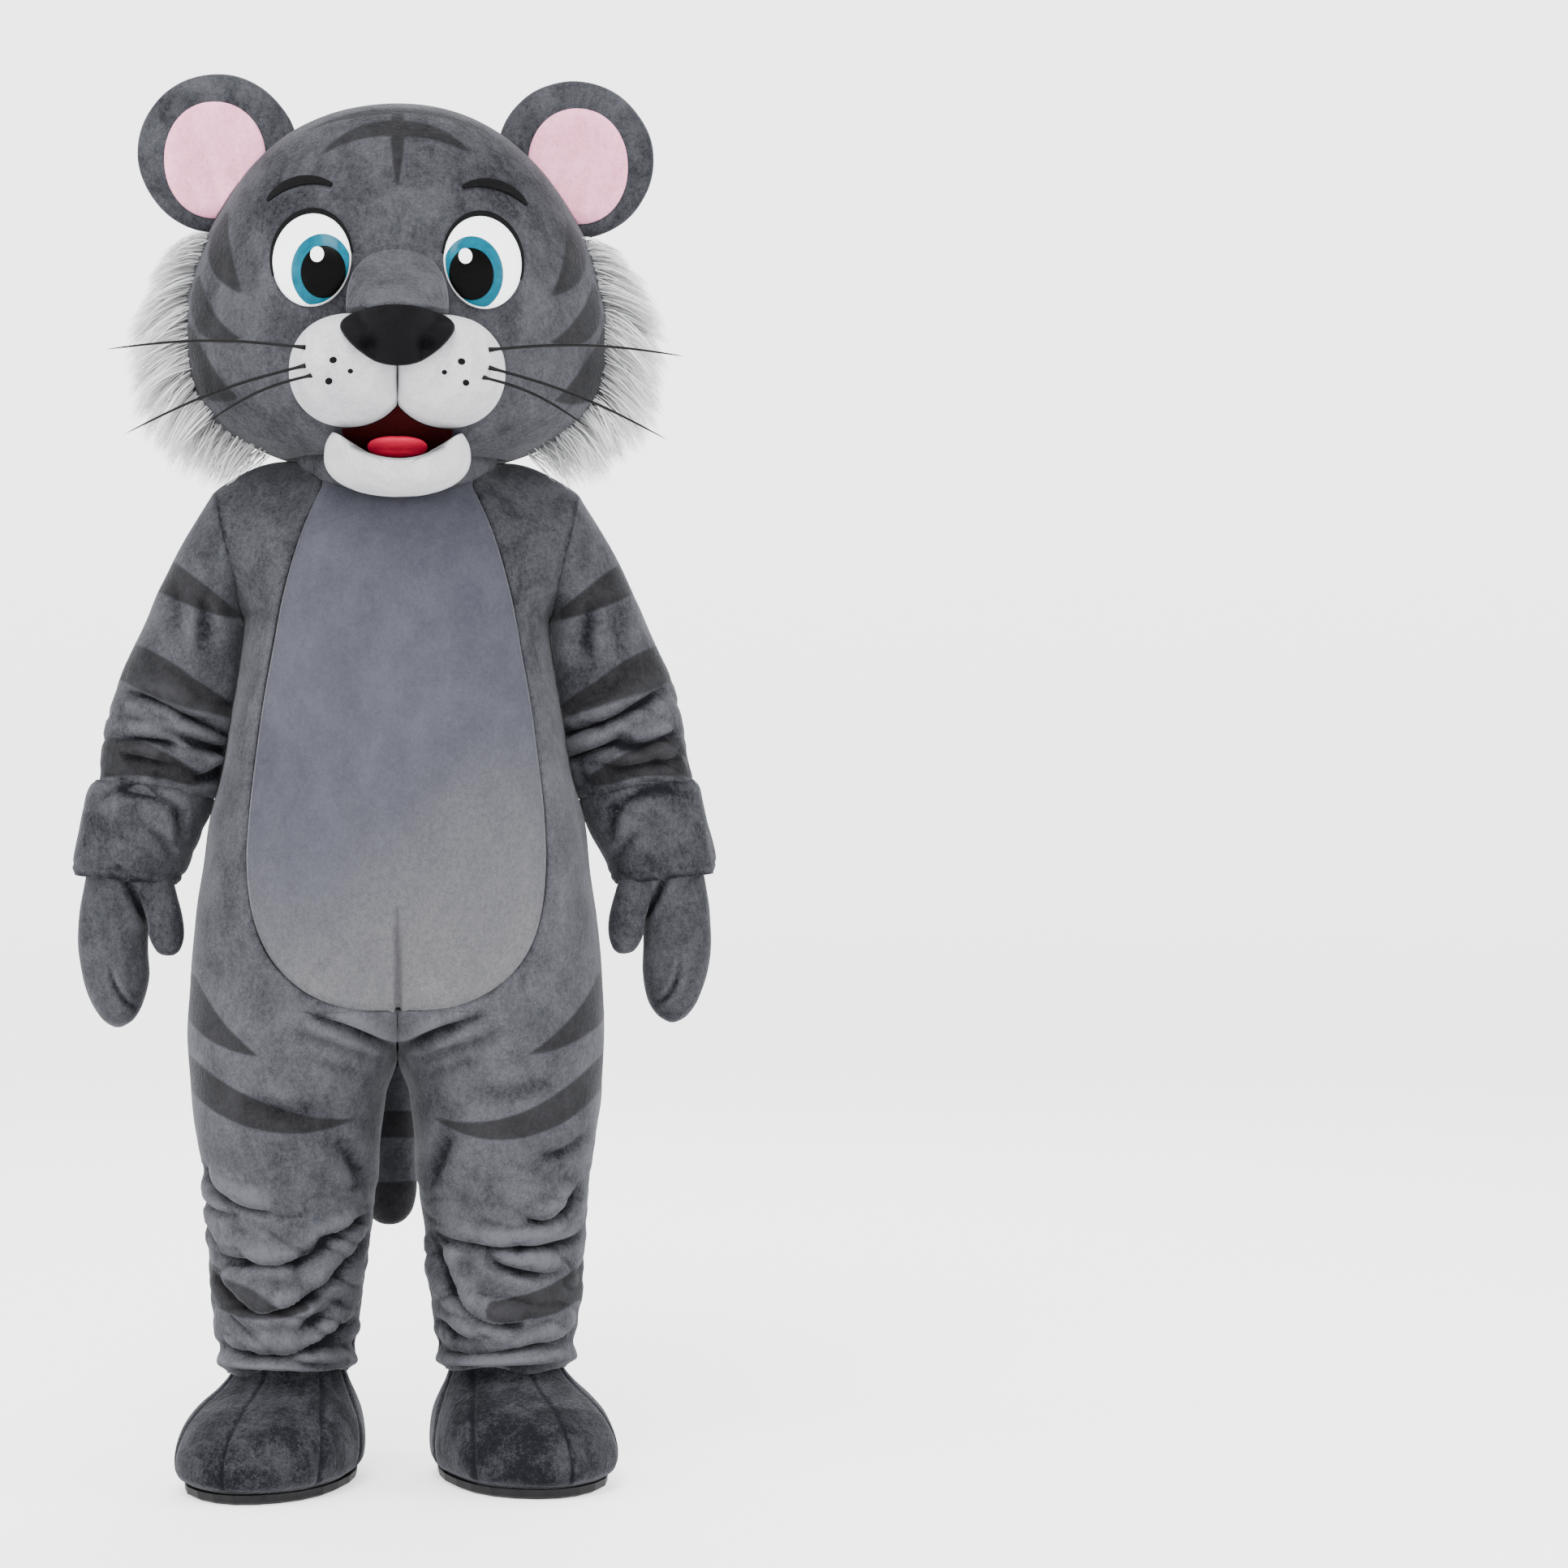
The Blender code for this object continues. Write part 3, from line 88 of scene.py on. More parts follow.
paper_glow = wire(paper_tree, "MapRange", "Result", {
    "Value": paper_height, "From Min": -NECK, "From Max": 0.6, "To Min": 0.55, "To Max": 1.25})
paper_tree.links.new(paper_glow, paper_shader["Emission Strength"])
floor.data.materials.append(paper)

world = bpy.data.worlds.new("studio_air")
world.use_nodes = True
world.node_tree.nodes["Background"].inputs["Color"].default_value = (0.93, 0.94, 0.96, 1)
world.node_tree.nodes["Background"].inputs["Strength"].default_value = 1.9
bpy.context.scene.world = world
for name, place, size, power in (
    ("soft_top", (-1.0, -3.3, 4.3), 2.4, 430),
    ("soft_left", (-3.8, -1.2, 1.6), 1.6, 70),
    ("soft_right", (3.8, -0.9, 1.4), 1.6, 80),
    ("soft_back", (0.8, 4.2, 3.4), 2.6, 240),
):
    lamp = bpy.data.lights.new(name, "AREA")
    lamp.energy = power
    lamp.size = size
    lamp_object = bpy.data.objects.new(name, lamp)
    lamp_object.location = place
    lamp_object.rotation_euler = (Vector((0, 0, -0.3)) - Vector(place)).to_track_quat("-Z", "Y").to_euler()
    bpy.context.collection.objects.link(lamp_object)

camera = bpy.data.objects.new("camera", bpy.data.cameras.new("camera"))
camera.data.lens = 85
camera.data.sensor_width = 36
camera.location = (0, -5.11, 0.945 - NECK)
camera.rotation_euler = (radians(90), 0, radians(-5.96))
bpy.context.collection.objects.link(camera)
bpy.context.scene.camera = camera


# ---------------------------------------------------------------- the belly panel, first of the jumpsuit
# One oval panel of smoother grey plush from the neckline to the crotch, set in between the two fronts
# with a plain seam. It carries the body's form, which the other panels share.
CLOTH = 0.003
LEFT, RIGHT, FRONT, BACK = -1, 1, -1, 1
SIDES = (("left", LEFT), ("right", RIGHT))

BODY = np.array((
    # height side   inner  front  back   full
    (0.120, 0.236, 0.062, 0.098, 0.103, 0.00),
    (0.179, 0.244, 0.055, 0.103, 0.107, 0.00),
    (0.250, 0.252, 0.046, 0.112, 0.115, 0.00),
    (0.325, 0.258, 0.037, 0.119, 0.122, 0.00),
    (0.407, 0.264, 0.028, 0.130, 0.131, 0.00),
    (0.489, 0.276, 0.019, 0.143, 0.143, 0.00),
    (0.560, 0.283, 0.011, 0.156, 0.158, 0.00),
    (0.620, 0.284, 0.000, 0.172, 0.176, 0.00),
    (0.680, 0.281, 0.000, 0.190, 0.189, 0.01),
    (0.756, 0.275, 0.000, 0.208, 0.190, 0.03),
    (0.826, 0.265, 0.000, 0.215, 0.178, 0.04),
    (0.896, 0.255, 0.000, 0.212, 0.166, 0.05),
    (0.955, 0.241, 0.000, 0.206, 0.160, 0.05),
    (1.019, 0.230, 0.000, 0.198, 0.156, 0.05),
    (1.072, 0.221, 0.000, 0.190, 0.155, 0.05),
    (1.170, 0.210, 0.000, 0.170, 0.152, 0.05),
))
HEM, CROTCH, FORK, ARMPIT, YOKE = 0.138, 0.575, 0.690, 1.170, 0.172
SHOULDER_X, SHOULDER_Z = 0.2486, 1.344
ARMHOLE_X, ARMHOLE_Z, ARMHOLE_DEEP = 0.2293, 1.257, 0.085      # its middle and half depth
NECKLINE_X, NECKLINE_SIDE_Z = 0.134, 1.372
NECKLINE_FRONT, NECKLINE_BACK = (0.118, 1.335), (0.100, 1.370)     # how deep and how high in the middle
BELLY_SEAM = np.array((
    # height half width
    (0.855, 0.201), (0.932, 0.196), (1.028, 0.184), (1.122, 0.169), (1.198, 0.155), (1.278, 0.131),
    (1.345, 0.103),
))
BELLY_WIDEST, BELLY_BOTTOM, BELLY_ROUND, BELLY_HALF = 0.855, 0.6434, 2.6, 0.201
SEAM = 0.0004      # how near sewn edges come
LEG_PART = 0.055     # how far below the crotch the legs are fully apart


def unit(value):
    """A value held between 0 and 1."""
    return np.clip(value, 0, 1)


def bell(value, width):
    """1 where a value is 0, and falling off smoothly beyond a width."""
    return np.exp(-(value / width) ** 2)


def curve(table, column, at):
    """A table's column at places in its first column, on a smooth curve that is held level past its ends."""
    keys, values = table[:, 0], table[:, column]
    slopes = np.gradient(values, keys)
    slopes[1:-1] = (values[2:] - values[:-2]) / (keys[2:] - keys[:-2])
    at = np.clip(at, keys[0], keys[-1])
    low = np.clip(np.searchsorted(keys, at, side="right") - 1, 0, len(keys) - 2)
    span = keys[low + 1] - keys[low]
    part = (at - keys[low]) / span
    square, cube = part ** 2, part ** 3
    return (values[low] * (2 * cube - 3 * square + 1) + values[low + 1] * (3 * square - 2 * cube)
            + span * (slopes[low] * (cube - 2 * square + part) + slopes[low + 1] * (cube - square)))


def numbered(table):
    """A table with the numbers of its rows as a new first column."""
    return np.column_stack((np.arange(len(table)), table))


def stack(x, y, z):
    """Points from their three parts, any of which may be one number."""
    x, y, z = np.broadcast_arrays(x, y, z)
    return np.stack((x, y, z), axis=-1).astype(float)


def section(side, face, across, height):
    """Points of a level section of body or leg: across runs from the centre seam, 0, to the side seam, 1."""
    wide, inner, full = (curve(BODY, column, height) for column in (1, 2, 5))
    deep = curve(BODY, 3 if face == FRONT else 4, height)
    part = np.sin(pi / 2 * unit((FORK - height) / (FORK - CROTCH))) ** 2
    apart = unit((CROTCH - height) / LEG_PART)
    inner = inner * apart ** 2 * (3 - 2 * apart)
    leg = height < CROTCH
    half = np.where(leg, (wide - inner) / 2, wide / (1 + part))
    centre = np.where(leg, (wide + inner) / 2, wide - half)
    angle = np.where(leg, pi, np.arccos(-part)) * (1 - across)
    swell = 1 + full * np.sin(2 * angle) ** 2
    x = centre + half * np.cos(angle) * swell
    y = face * deep * np.sin(angle) * swell
    tilt = 0.12 * np.clip((0.25 - height) / (0.25 - HEM), 0, None)
    return stack(side * x, y, height - tilt * y)


def armhole(side, face, part):
    """The armhole seam, from the underarm, 0, to the shoulder, 1."""
    angle = pi * np.asarray(part, float)
    x, z = ARMHOLE_X - 0.0193 * np.cos(angle), ARMHOLE_Z - 0.087 * np.cos(angle)
    return stack(side * x, face * ARMHOLE_DEEP * np.sin(angle), z)


def neckline(side, face, part):
    """The neckline, from the centre, 0, to the shoulder seam, 1."""
    angle = pi / 2 * np.asarray(part, float)
    deep, middle = NECKLINE_FRONT if face == FRONT else NECKLINE_BACK
    return stack(side * NECKLINE_X * np.sin(angle), face * deep * np.cos(angle),
                 middle + (NECKLINE_SIDE_Z - middle) * np.sin(angle) ** 2)


def yoke(side, face, across, rise):
    """Points of the yoke, a patch between the chest, neckline, shoulder seam and armhole."""
    across, rise = np.broadcast_arrays(np.asarray(across, float), np.asarray(rise, float))
    flat = np.zeros_like(across)
    column, row = across[..., None], rise[..., None]
    turn = 0.55     # how far across the neckline ends and the shoulder seam starts
    beyond = unit((across - turn) / 0.45)[..., None]
    shoulder = stack(side * SHOULDER_X, 0, SHOULDER_Z)
    top = np.where(column <= turn, neckline(side, face, unit(across / turn)),
                   neckline(side, face, flat + 1) * (1 - beyond) + shoulder * beyond)
    chest = section(side, face, flat, flat + ARMPIT)
    neck = neckline(side, face, flat)
    centre = chest * (1 - row) + neck * row + stack(flat, face * 0.012 * np.sin(pi * rise), flat)
    bottom = section(side, face, across, flat + ARMPIT)
    low = chest * (1 - column) + armhole(side, face, flat) * column
    high = neck * (1 - column) + armhole(side, face, flat + 1) * column
    corners = low * (1 - row) + high * row
    return (bottom * (1 - row) + top * row + centre * (1 - column)
            + armhole(side, face, rise) * column - corners)


def body(side, face, across, level):
    """Points of the jumpsuit's outer side; above the armpit a level is a place up the yoke."""
    across, level = np.broadcast_arrays(np.asarray(across, float), np.asarray(level, float))
    low = section(side, face, across, np.minimum(level, ARMPIT))
    high = yoke(side, face, across, unit((level - ARMPIT) / YOKE))
    return np.where((level <= ARMPIT)[..., None], low, high)


def belly_edge(level, shift=0.0):
    """How far across a front the belly seam lies at each level."""
    low, high = np.zeros_like(level), np.full_like(level, 0.95)
    for _ in range(30):
        middle = (low + high) / 2
        point = body(RIGHT, FRONT, middle, level)
        drop = unit((BELLY_WIDEST - point[:, 2]) / (BELLY_WIDEST - BELLY_BOTTOM))
        oval = BELLY_HALF * (1 - drop ** BELLY_ROUND) ** (1 / BELLY_ROUND)
        half = np.where(point[:, 2] >= BELLY_WIDEST, curve(BELLY_SEAM, 1, point[:, 2]), oval) + shift
        inside = point[:, 0] < half
        low, high = np.where(inside, middle, low), np.where(inside, high, middle)
    return (low + high) / 2


def levels_up(rows_round, rows_side, rows_yoke):
    """Levels from the belly's foot to the neckline, close together round its foot."""
    turn = np.append(0, np.linspace(0.10, pi / 2, rows_round - 1, endpoint=False))
    foot = BELLY_WIDEST - (BELLY_WIDEST - BELLY_BOTTOM) * np.cos(turn) ** (2 / BELLY_ROUND)
    return np.concatenate((foot, np.linspace(BELLY_WIDEST, ARMPIT, rows_side, endpoint=False),
                           np.linspace(ARMPIT, ARMPIT + YOKE, rows_yoke)))


def cloth(name, columns, rows, place):
    """A grid of cloth laid on the form: place(u, v) gives its points, for u and v from 0 to 1."""
    bpy.ops.object.select_all(action="DESELECT")
    bpy.ops.mesh.primitive_grid_add(x_subdivisions=columns, y_subdivisions=rows, size=1)
    piece = bpy.context.object
    piece.name = piece.data.name = name
    spots = points_of(piece)
    points = place(spots[:, 0] + 0.5, spots[:, 1] + 0.5)
    put_points(piece, points - (0, 0, NECK))
    return piece


def vectors(rows, key):
    values = np.empty(len(rows) * 3, np.float32)
    rows.foreach_get(key, values)
    return values.reshape(-1, 3).astype(float)


def points_of(piece):
    return vectors(piece.data.vertices, "co")


def normals_of(piece):
    return vectors(piece.data.vertex_normals, "vector")


def put_points(piece, points):
    piece.data.vertices.foreach_set("co", np.ascontiguousarray(points, np.float32).ravel())
    piece.data.update()


def heights_of(piece):
    """Heights of a piece's points above the floor."""
    return points_of(piece)[:, 2] + NECK


def front_view(piece):
    """Each point's place in the front view: x, and height above the floor."""
    points = points_of(piece)
    return np.stack((points[:, 0], points[:, 2] + NECK), axis=1)


def face_away(piece, core):
    """Turns all faces of an open piece away from a core point, given in heights above the floor."""
    away = points_of(piece) - np.array(core) + (0, 0, NECK)
    if (normals_of(piece) * away).sum() < 0:
        piece.data.flip_normals()
        piece.data.update()


def along_curve(flat, line):
    """How points of the front view lie to a curved line: part of its length, height over it, and distance.

    The line is x and z of its start, middle and end, in mm.
    """
    steps = 18
    start, middle, end = np.reshape(line, (3, 2)) / 1000
    bend = 2 * middle - (start + end) / 2
    turn = np.linspace(0, 1, steps + 1)[:, None]
    line = (1 - turn) ** 2 * start + 2 * turn * (1 - turn) * bend + turn ** 2 * end
    best = np.full(len(flat), np.inf)
    part, over = np.zeros(len(flat)), np.zeros(len(flat))
    for step in range(steps):
        first, run = line[step], line[step + 1] - line[step]
        length = np.hypot(*run)
        offset = flat - first
        spot = unit(offset @ run / length ** 2)
        gap = offset - spot[:, None] * run
        distance = np.hypot(gap[:, 0], gap[:, 1])
        closer = distance < best
        best, part = np.where(closer, distance, best), np.where(closer, (step + spot) / steps, part)
        flip = 1 if run[0] > 0 or (run[0] == 0 and run[1] < 0) else -1
        over = np.where(closer, flip * (run[0] * offset[:, 1] - run[1] * offset[:, 0]) / length, over)
    return part, np.sign(over) * best, best


def keep(piece, name, values):
    """Adds values to a named attribute of the piece's points, which its material reads."""
    layer = piece.data.attributes.get(name) or piece.data.attributes.new(name, "FLOAT", "POINT")
    kept = np.zeros(len(piece.data.vertices), np.float32)
    layer.data.foreach_get("value", kept)
    layer.data.foreach_set("value", (kept + values).astype(np.float32))


def mirrored(side, rows):
    """Rows of folds or bands that are drawn for the right, turned over for the left."""
    return [(side * a, b, side * c, d, side * e, f, *rest) for a, b, c, d, e, f, *rest in rows]


def press_folds(piece, folds, mask=1.0):
    """Presses folds into a piece: each is a soft trough with a roll of cloth over it and a lesser one under;
    shade is painted into the trough and light onto the rolls.

    A row is x and z of its start, middle and end in the front view, depth and width, all in mm, and overhang.
    """
    normals, flat = normals_of(piece), front_view(piece)
    moved, shade = points_of(piece), np.zeros(len(flat))
    for *line, depth, width, hang in folds:
        depth, width = depth / 1000, width / 1000
        part, over, _ = along_curve(flat, line)
        fade = unit(np.sin(pi * part)) ** 0.55 * mask
        trough = bell(over, width)
        roll = bell(over - 1.9 * width, 1.15 * width)
        under = bell(over + 2.1 * width, 1.3 * width)
        push = depth * fade * (0.62 * roll + 0.38 * under - trough)
        shade += fade * min(depth / 0.010, 1.3) * (0.55 * roll + 0.30 * under - trough)
        moved += normals * push[:, None]
        moved[:, 2] -= hang * depth * fade * bell(over - 1.1 * width, width)
    keep(piece, "nap_and_shade", shade)
    put_points(piece, moved)


def ripple(piece, size, depth, seed):
    """Slow unevenness of cloth on the wearer."""
    points, normals = points_of(piece), normals_of(piece)
    swell = np.array([noise.noise(Vector(point) / size + Vector((seed, 0, 0))) for point in points])
    put_points(piece, points + normals * (swell * depth)[:, None])


def crumple(piece, weight, depth, size=(0.075, 0.075, 0.030), seed=0):
    """Small uneven creases that run round the limb, as slack plush has between its main folds, with shade
    painted into them.
    """
    points, normals = points_of(piece), normals_of(piece)
    crease = np.zeros(len(points))
    for index in np.flatnonzero(weight > 0.02):
        x, y, z = points[index]
        spot = Vector((x / size[0] + seed, y / size[1], z / size[2] + 0.8 * x / size[0]))
        crease[index] = 0.55 - abs(noise.noise(spot)) * 3.2
    crease = np.clip(crease, -0.8, 0.55) * weight
    keep(piece, "nap_and_shade", -1.1 * unit(crease))
    put_points(piece, points - normals * (crease * depth)[:, None])


def near_line(piece, line):
    """Each point's distance from a sewn line, given as closely set points in heights above the floor."""
    tree = KDTree(len(line))
    for index, spot in enumerate(line):
        tree.insert((spot[0], spot[1], spot[2] - NECK), index)
    tree.balance()
    return np.array([tree.find(Vector(point))[2] for point in points_of(piece)])


def raise_shoulders(piece):
    """Lifts the cloth over the wearer's shoulders, beside the neck, to just under the head."""
    points = points_of(piece)
    rise = np.sin(pi * unit((np.abs(points[:, 0]) - 0.100) / 0.1486))
    high = unit((points[:, 2] + NECK - 1.24) / 0.10)
    points[:, 2] += 0.021 * rise * high ** 1.5 * bell(points[:, 1], 0.075)
    put_points(piece, points)


def ease_across(piece, columns, rows, weight, rounds):
    """Evens out the cloth across its columns, more where weight is 1, and leaves its edges where they are."""
    grid = points_of(piece).reshape(rows + 1, columns + 1, 3)
    share = weight.reshape(rows + 1, columns + 1, 1)[:, 1:-1]
    for _ in range(rounds):
        even = (grid[:, :-2] + 2 * grid[:, 1:-1] + grid[:, 2:]) / 4
        grid[:, 1:-1] = grid[:, 1:-1] * (1 - share) + even * share
    put_points(piece, grid.reshape(-1, 3))


def edge_gaps(piece, columns, rows):
    """Each point's distance along the cloth from the grid's left, right, bottom and top edges."""
    points = points_of(piece).reshape(rows + 1, columns + 1, 3)
    across = np.linalg.norm(np.diff(points, axis=1), axis=2)
    along = np.linalg.norm(np.diff(points, axis=0), axis=2)
    left = np.concatenate((np.zeros((rows + 1, 1)), np.cumsum(across, axis=1)), axis=1)
    bottom = np.concatenate((np.zeros((1, columns + 1)), np.cumsum(along, axis=0)), axis=0)
    return [gap.ravel() for gap in (left, left[:, -1:] - left, bottom, bottom[-1:] - bottom)]


def to_core(piece):
    """Level directions from each point of the body straight in."""
    run = points_of(piece) * (-1, -1.7, 0)
    return run / np.linalg.norm(run, axis=1)[:, None]


def roll_edges(piece, gaps, depth=0.0035, reach=0.006, shade=0.45, hold=1.0, inward=None):
    """Turns sewn edges in: the plush rounds over into the seam, and shade is painted along it."""
    nearest = np.minimum.reduce(gaps)
    keep(piece, "nap_and_shade", -shade * bell(nearest, 0.8 * reach))
    points = points_of(piece)
    inward = -normals_of(piece) if inward is None else inward
    put_points(piece, points + inward * (depth * hold * bell(nearest, reach))[:, None])


def thicken(piece, thickness):
    """Gives a sheet its thickness, inwards."""
    wall = piece.modifiers.new("wall", "SOLIDIFY")
    wall.thickness = thickness
    wall.offset = -1
    bpy.context.view_layer.objects.active = piece
    bpy.ops.object.modifier_apply(modifier=wall.name)


def rework(piece, step):
    """Runs one step on a piece's mesh."""
    mesh = bmesh.new()
    mesh.from_mesh(piece.data)
    step(mesh)
    mesh.to_mesh(piece.data)
    mesh.free()


def close_up(piece, distance=SEAM):
    """Merges the points that meet, where a grid is drawn together or closes into a tube."""
    rework(piece, lambda mesh: bmesh.ops.remove_doubles(mesh, verts=mesh.verts, dist=distance))


def mark_bands(piece, bands=()):
    """Stores how deep each point lies inside the dark bands, which the material reads.

    A row is x and z of its start, middle and end in the front view, then its half widths there, in mm.
    """
    flat = front_view(piece)
    deepest = np.full(len(flat), -0.05)
    for *line, half_start, half_middle, half_end in bands:
        part, _, distance = along_curve(flat, line)
        bend = 2 * half_middle - (half_start + half_end) / 2
        half = (1 - part) ** 2 * half_start + 2 * part * (1 - part) * bend + part ** 2 * half_end
        deepest = np.maximum(deepest, half / 1000 - distance)
    keep(piece, "band", deepest)


def cover(tree, shader, colour, height, strength, distance):
    """Gives a shader its colour, and a bump of a strength and depth."""
    bump = wire(tree, "Bump", "Normal", {"Height": height, "Strength": strength, "Distance": distance})
    tree.links.new(colour, shader["Base Color"])
    tree.links.new(bump, shader["Normal"])


def blend(tree, share, first, second):
    """Mixes two colours, each a constant or another node's output."""
    first, second = ((*one, 1) if isinstance(one, tuple) else one for one in (first, second))
    return wire(tree, "Mix", 2, {"Factor": share, 6: first, 7: second}, data_type="RGBA")


def plush(name, deep, light, pile=1.0, banded=False, sheen=0.16, pale=None):
    """Short brushed plush: pile in lighter and darker clouds, small tufts, dyed bands, and painted shade and
    light.
    """
    material, tree, shader = blank(name, 0.95, 0.05)
    shader["Sheen Weight"].default_value = sheen
    shader["Sheen Roughness"].default_value = 0.28
    shader["Sheen Tint"].default_value = (0.85, 0.87, 0.92, 1)
    place = wire(tree, "TexCoord", "Object", {})

    def cloud(scale, detail, stretch=(1, 1, 1), distortion=0.0):
        spot = wire(tree, "Mapping", "Vector", {"Vector": place, "Scale": stretch})
        return wire(tree, "TexNoise", "Fac", {"Vector": spot, "Scale": scale, "Detail": detail,
                                              "Roughness": 0.62, "Distortion": distortion})

    def spread(value, low, high, to_low=0.0, to_high=1.0):
        return wire(tree, "MapRange", "Result", {"Value": value, "From Min": low, "From Max": high,
                                                 "To Min": to_low, "To Max": to_high})

    def times(value, factor):
        return wire(tree, "Math", "Value", {0: value, 1: factor}, operation="MULTIPLY")

    def add(first, second):
        return wire(tree, "Math", "Value", {0: first, 1: second}, operation="ADD")

    brushed = cloud(7, 6, (1, 1, 0.6), 0.6)
    patches = cloud(26, 6, (1, 1, 0.75), 0.4)
    tufts = cloud(170, 4, (1, 1, 0.8))
    grain = cloud(430, 3)
    nap_and_shade = add(times(spread(brushed, 0.40, 0.60), 0.55), times(spread(patches, 0.41, 0.60), 0.45))
    speckle = add(times(spread(tufts, 0.38, 0.62), 0.45), times(spread(grain, 0.38, 0.62), 0.55))
    nap_and_shade = add(times(nap_and_shade, 0.52), times(speckle, 0.48))
    # painted shade and light kept on the points: darker in folds, creases and seams, lighter on rolls, and
    # set per piece
    painted_shade = wire(tree, "Attribute", "Fac", {}, attribute_name="nap_and_shade")
    nap_and_shade = spread(add(nap_and_shade, times(painted_shade, 0.70)), -0.12, 1.10)
    colour = blend(tree, nap_and_shade, deep, light)
    # a paler tone towards the bottom, reaching higher towards +x, with a cloudy edge
    if pale is not None:
        low, high, paler_deep, paler_light = pale
        across, height = (wire(tree, "SeparateXYZ", axis, {"Vector": place}) for axis in "XZ")
        height = add(add(height, times(across, -0.5)), times(spread(brushed, 0.3, 0.7, -1, 1), 0.09))
        paler = blend(tree, speckle, paler_deep, paler_light)
        colour = blend(tree, spread(height, low - NECK, high - NECK), paler, colour)
    if banded:
        band = wire(tree, "Attribute", "Fac", {}, attribute_name="band")
        edge = add(band, times(spread(tufts, 0.2, 0.8, -1, 1), 0.0016))
        dark = blend(tree, nap_and_shade, (0.0042, 0.0042, 0.0048), (0.0260, 0.0260, 0.0282))
        colour = blend(tree, spread(edge, -0.0016, 0.0016), colour, dark)
    cover(tree, shader, colour, add(times(tufts, 0.6), times(grain, 0.4)), 0.55 * pile, 0.004)
    return material


def put_on(piece, material, slot, *nodes):
    """Finishes a piece: smooth, of one material, in the place of its CAD nodes, on the costume's one body."""
    piece.data.materials.clear()
    piece.data.materials.append(material)
    piece.data.shade_smooth()
    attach(piece, "root")
    if nodes:
        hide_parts(*nodes)


grey_plush = plush("grey_plush", (0.0058, 0.0060, 0.0080), (0.070, 0.071, 0.080), banded=True)
belly_plush = plush("belly_plush", (0.030, 0.0305, 0.040), (0.062, 0.063, 0.076), pile=0.6,
                    pale=(0.62, 0.96, (0.064, 0.064, 0.068), (0.104, 0.103, 0.106)))

belly_levels = levels_up(56, 66, 36)[1:]
belly_edges = belly_edge(belly_levels)
belly_line_levels = levels_up(500, 260, 120)[1:]
belly_line_across = belly_edge(belly_line_levels)
belly_foot = np.linspace(0, belly_line_across[0], 60)
belly_line = np.concatenate([body(side, FRONT, belly_line_across, belly_line_levels) for _, side in SIDES]
                            + [body(side, FRONT, belly_foot, BELLY_BOTTOM + SEAM) for _, side in SIDES])


def lay_belly(u, v):
    row = np.rint(v * (len(belly_levels) - 1)).astype(int)
    across = (2 * u - 1 + 0.12 * np.sin(2 * pi * u) / pi) * belly_edges[row] * 0.9985
    left = body(LEFT, FRONT, np.abs(across), belly_levels[row])
    right = body(RIGHT, FRONT, np.abs(across), belly_levels[row])
    return np.where((across < 0)[:, None], left, right)


BELLY_FOLDS = (
    # x, z of start, middle and end, then depth, width and hang
    (0, 785, 1, 712, 0, 600, 8, 3.8, 0.0),
    (30, 745, 38, 712, 50, 672, 3, 9, 0.0),
    (75, 740, 92, 710, 112, 686, 2.6, 9, 0.0),
    (-28, 742, -38, 708, -52, 668, 3, 9, 0.0),
    (-70, 735, -90, 706, -112, 684, 2.6, 9, 0.0),
)
belly = cloth("belly_panel", 84, len(belly_levels) - 1, lay_belly)
face_away(belly, (0, 0, 1.0))
press_folds(belly, BELLY_FOLDS)
belly_gap = near_line(belly, belly_line)
ripple(belly, 0.11, 0.0022, 3)
raise_shoulders(belly)
roll_edges(belly, [belly_gap], 0.0034, 0.0056, 0.30, inward=to_core(belly))
thicken(belly, CLOTH)
put_on(belly, belly_plush, "belly_plush", "belly")


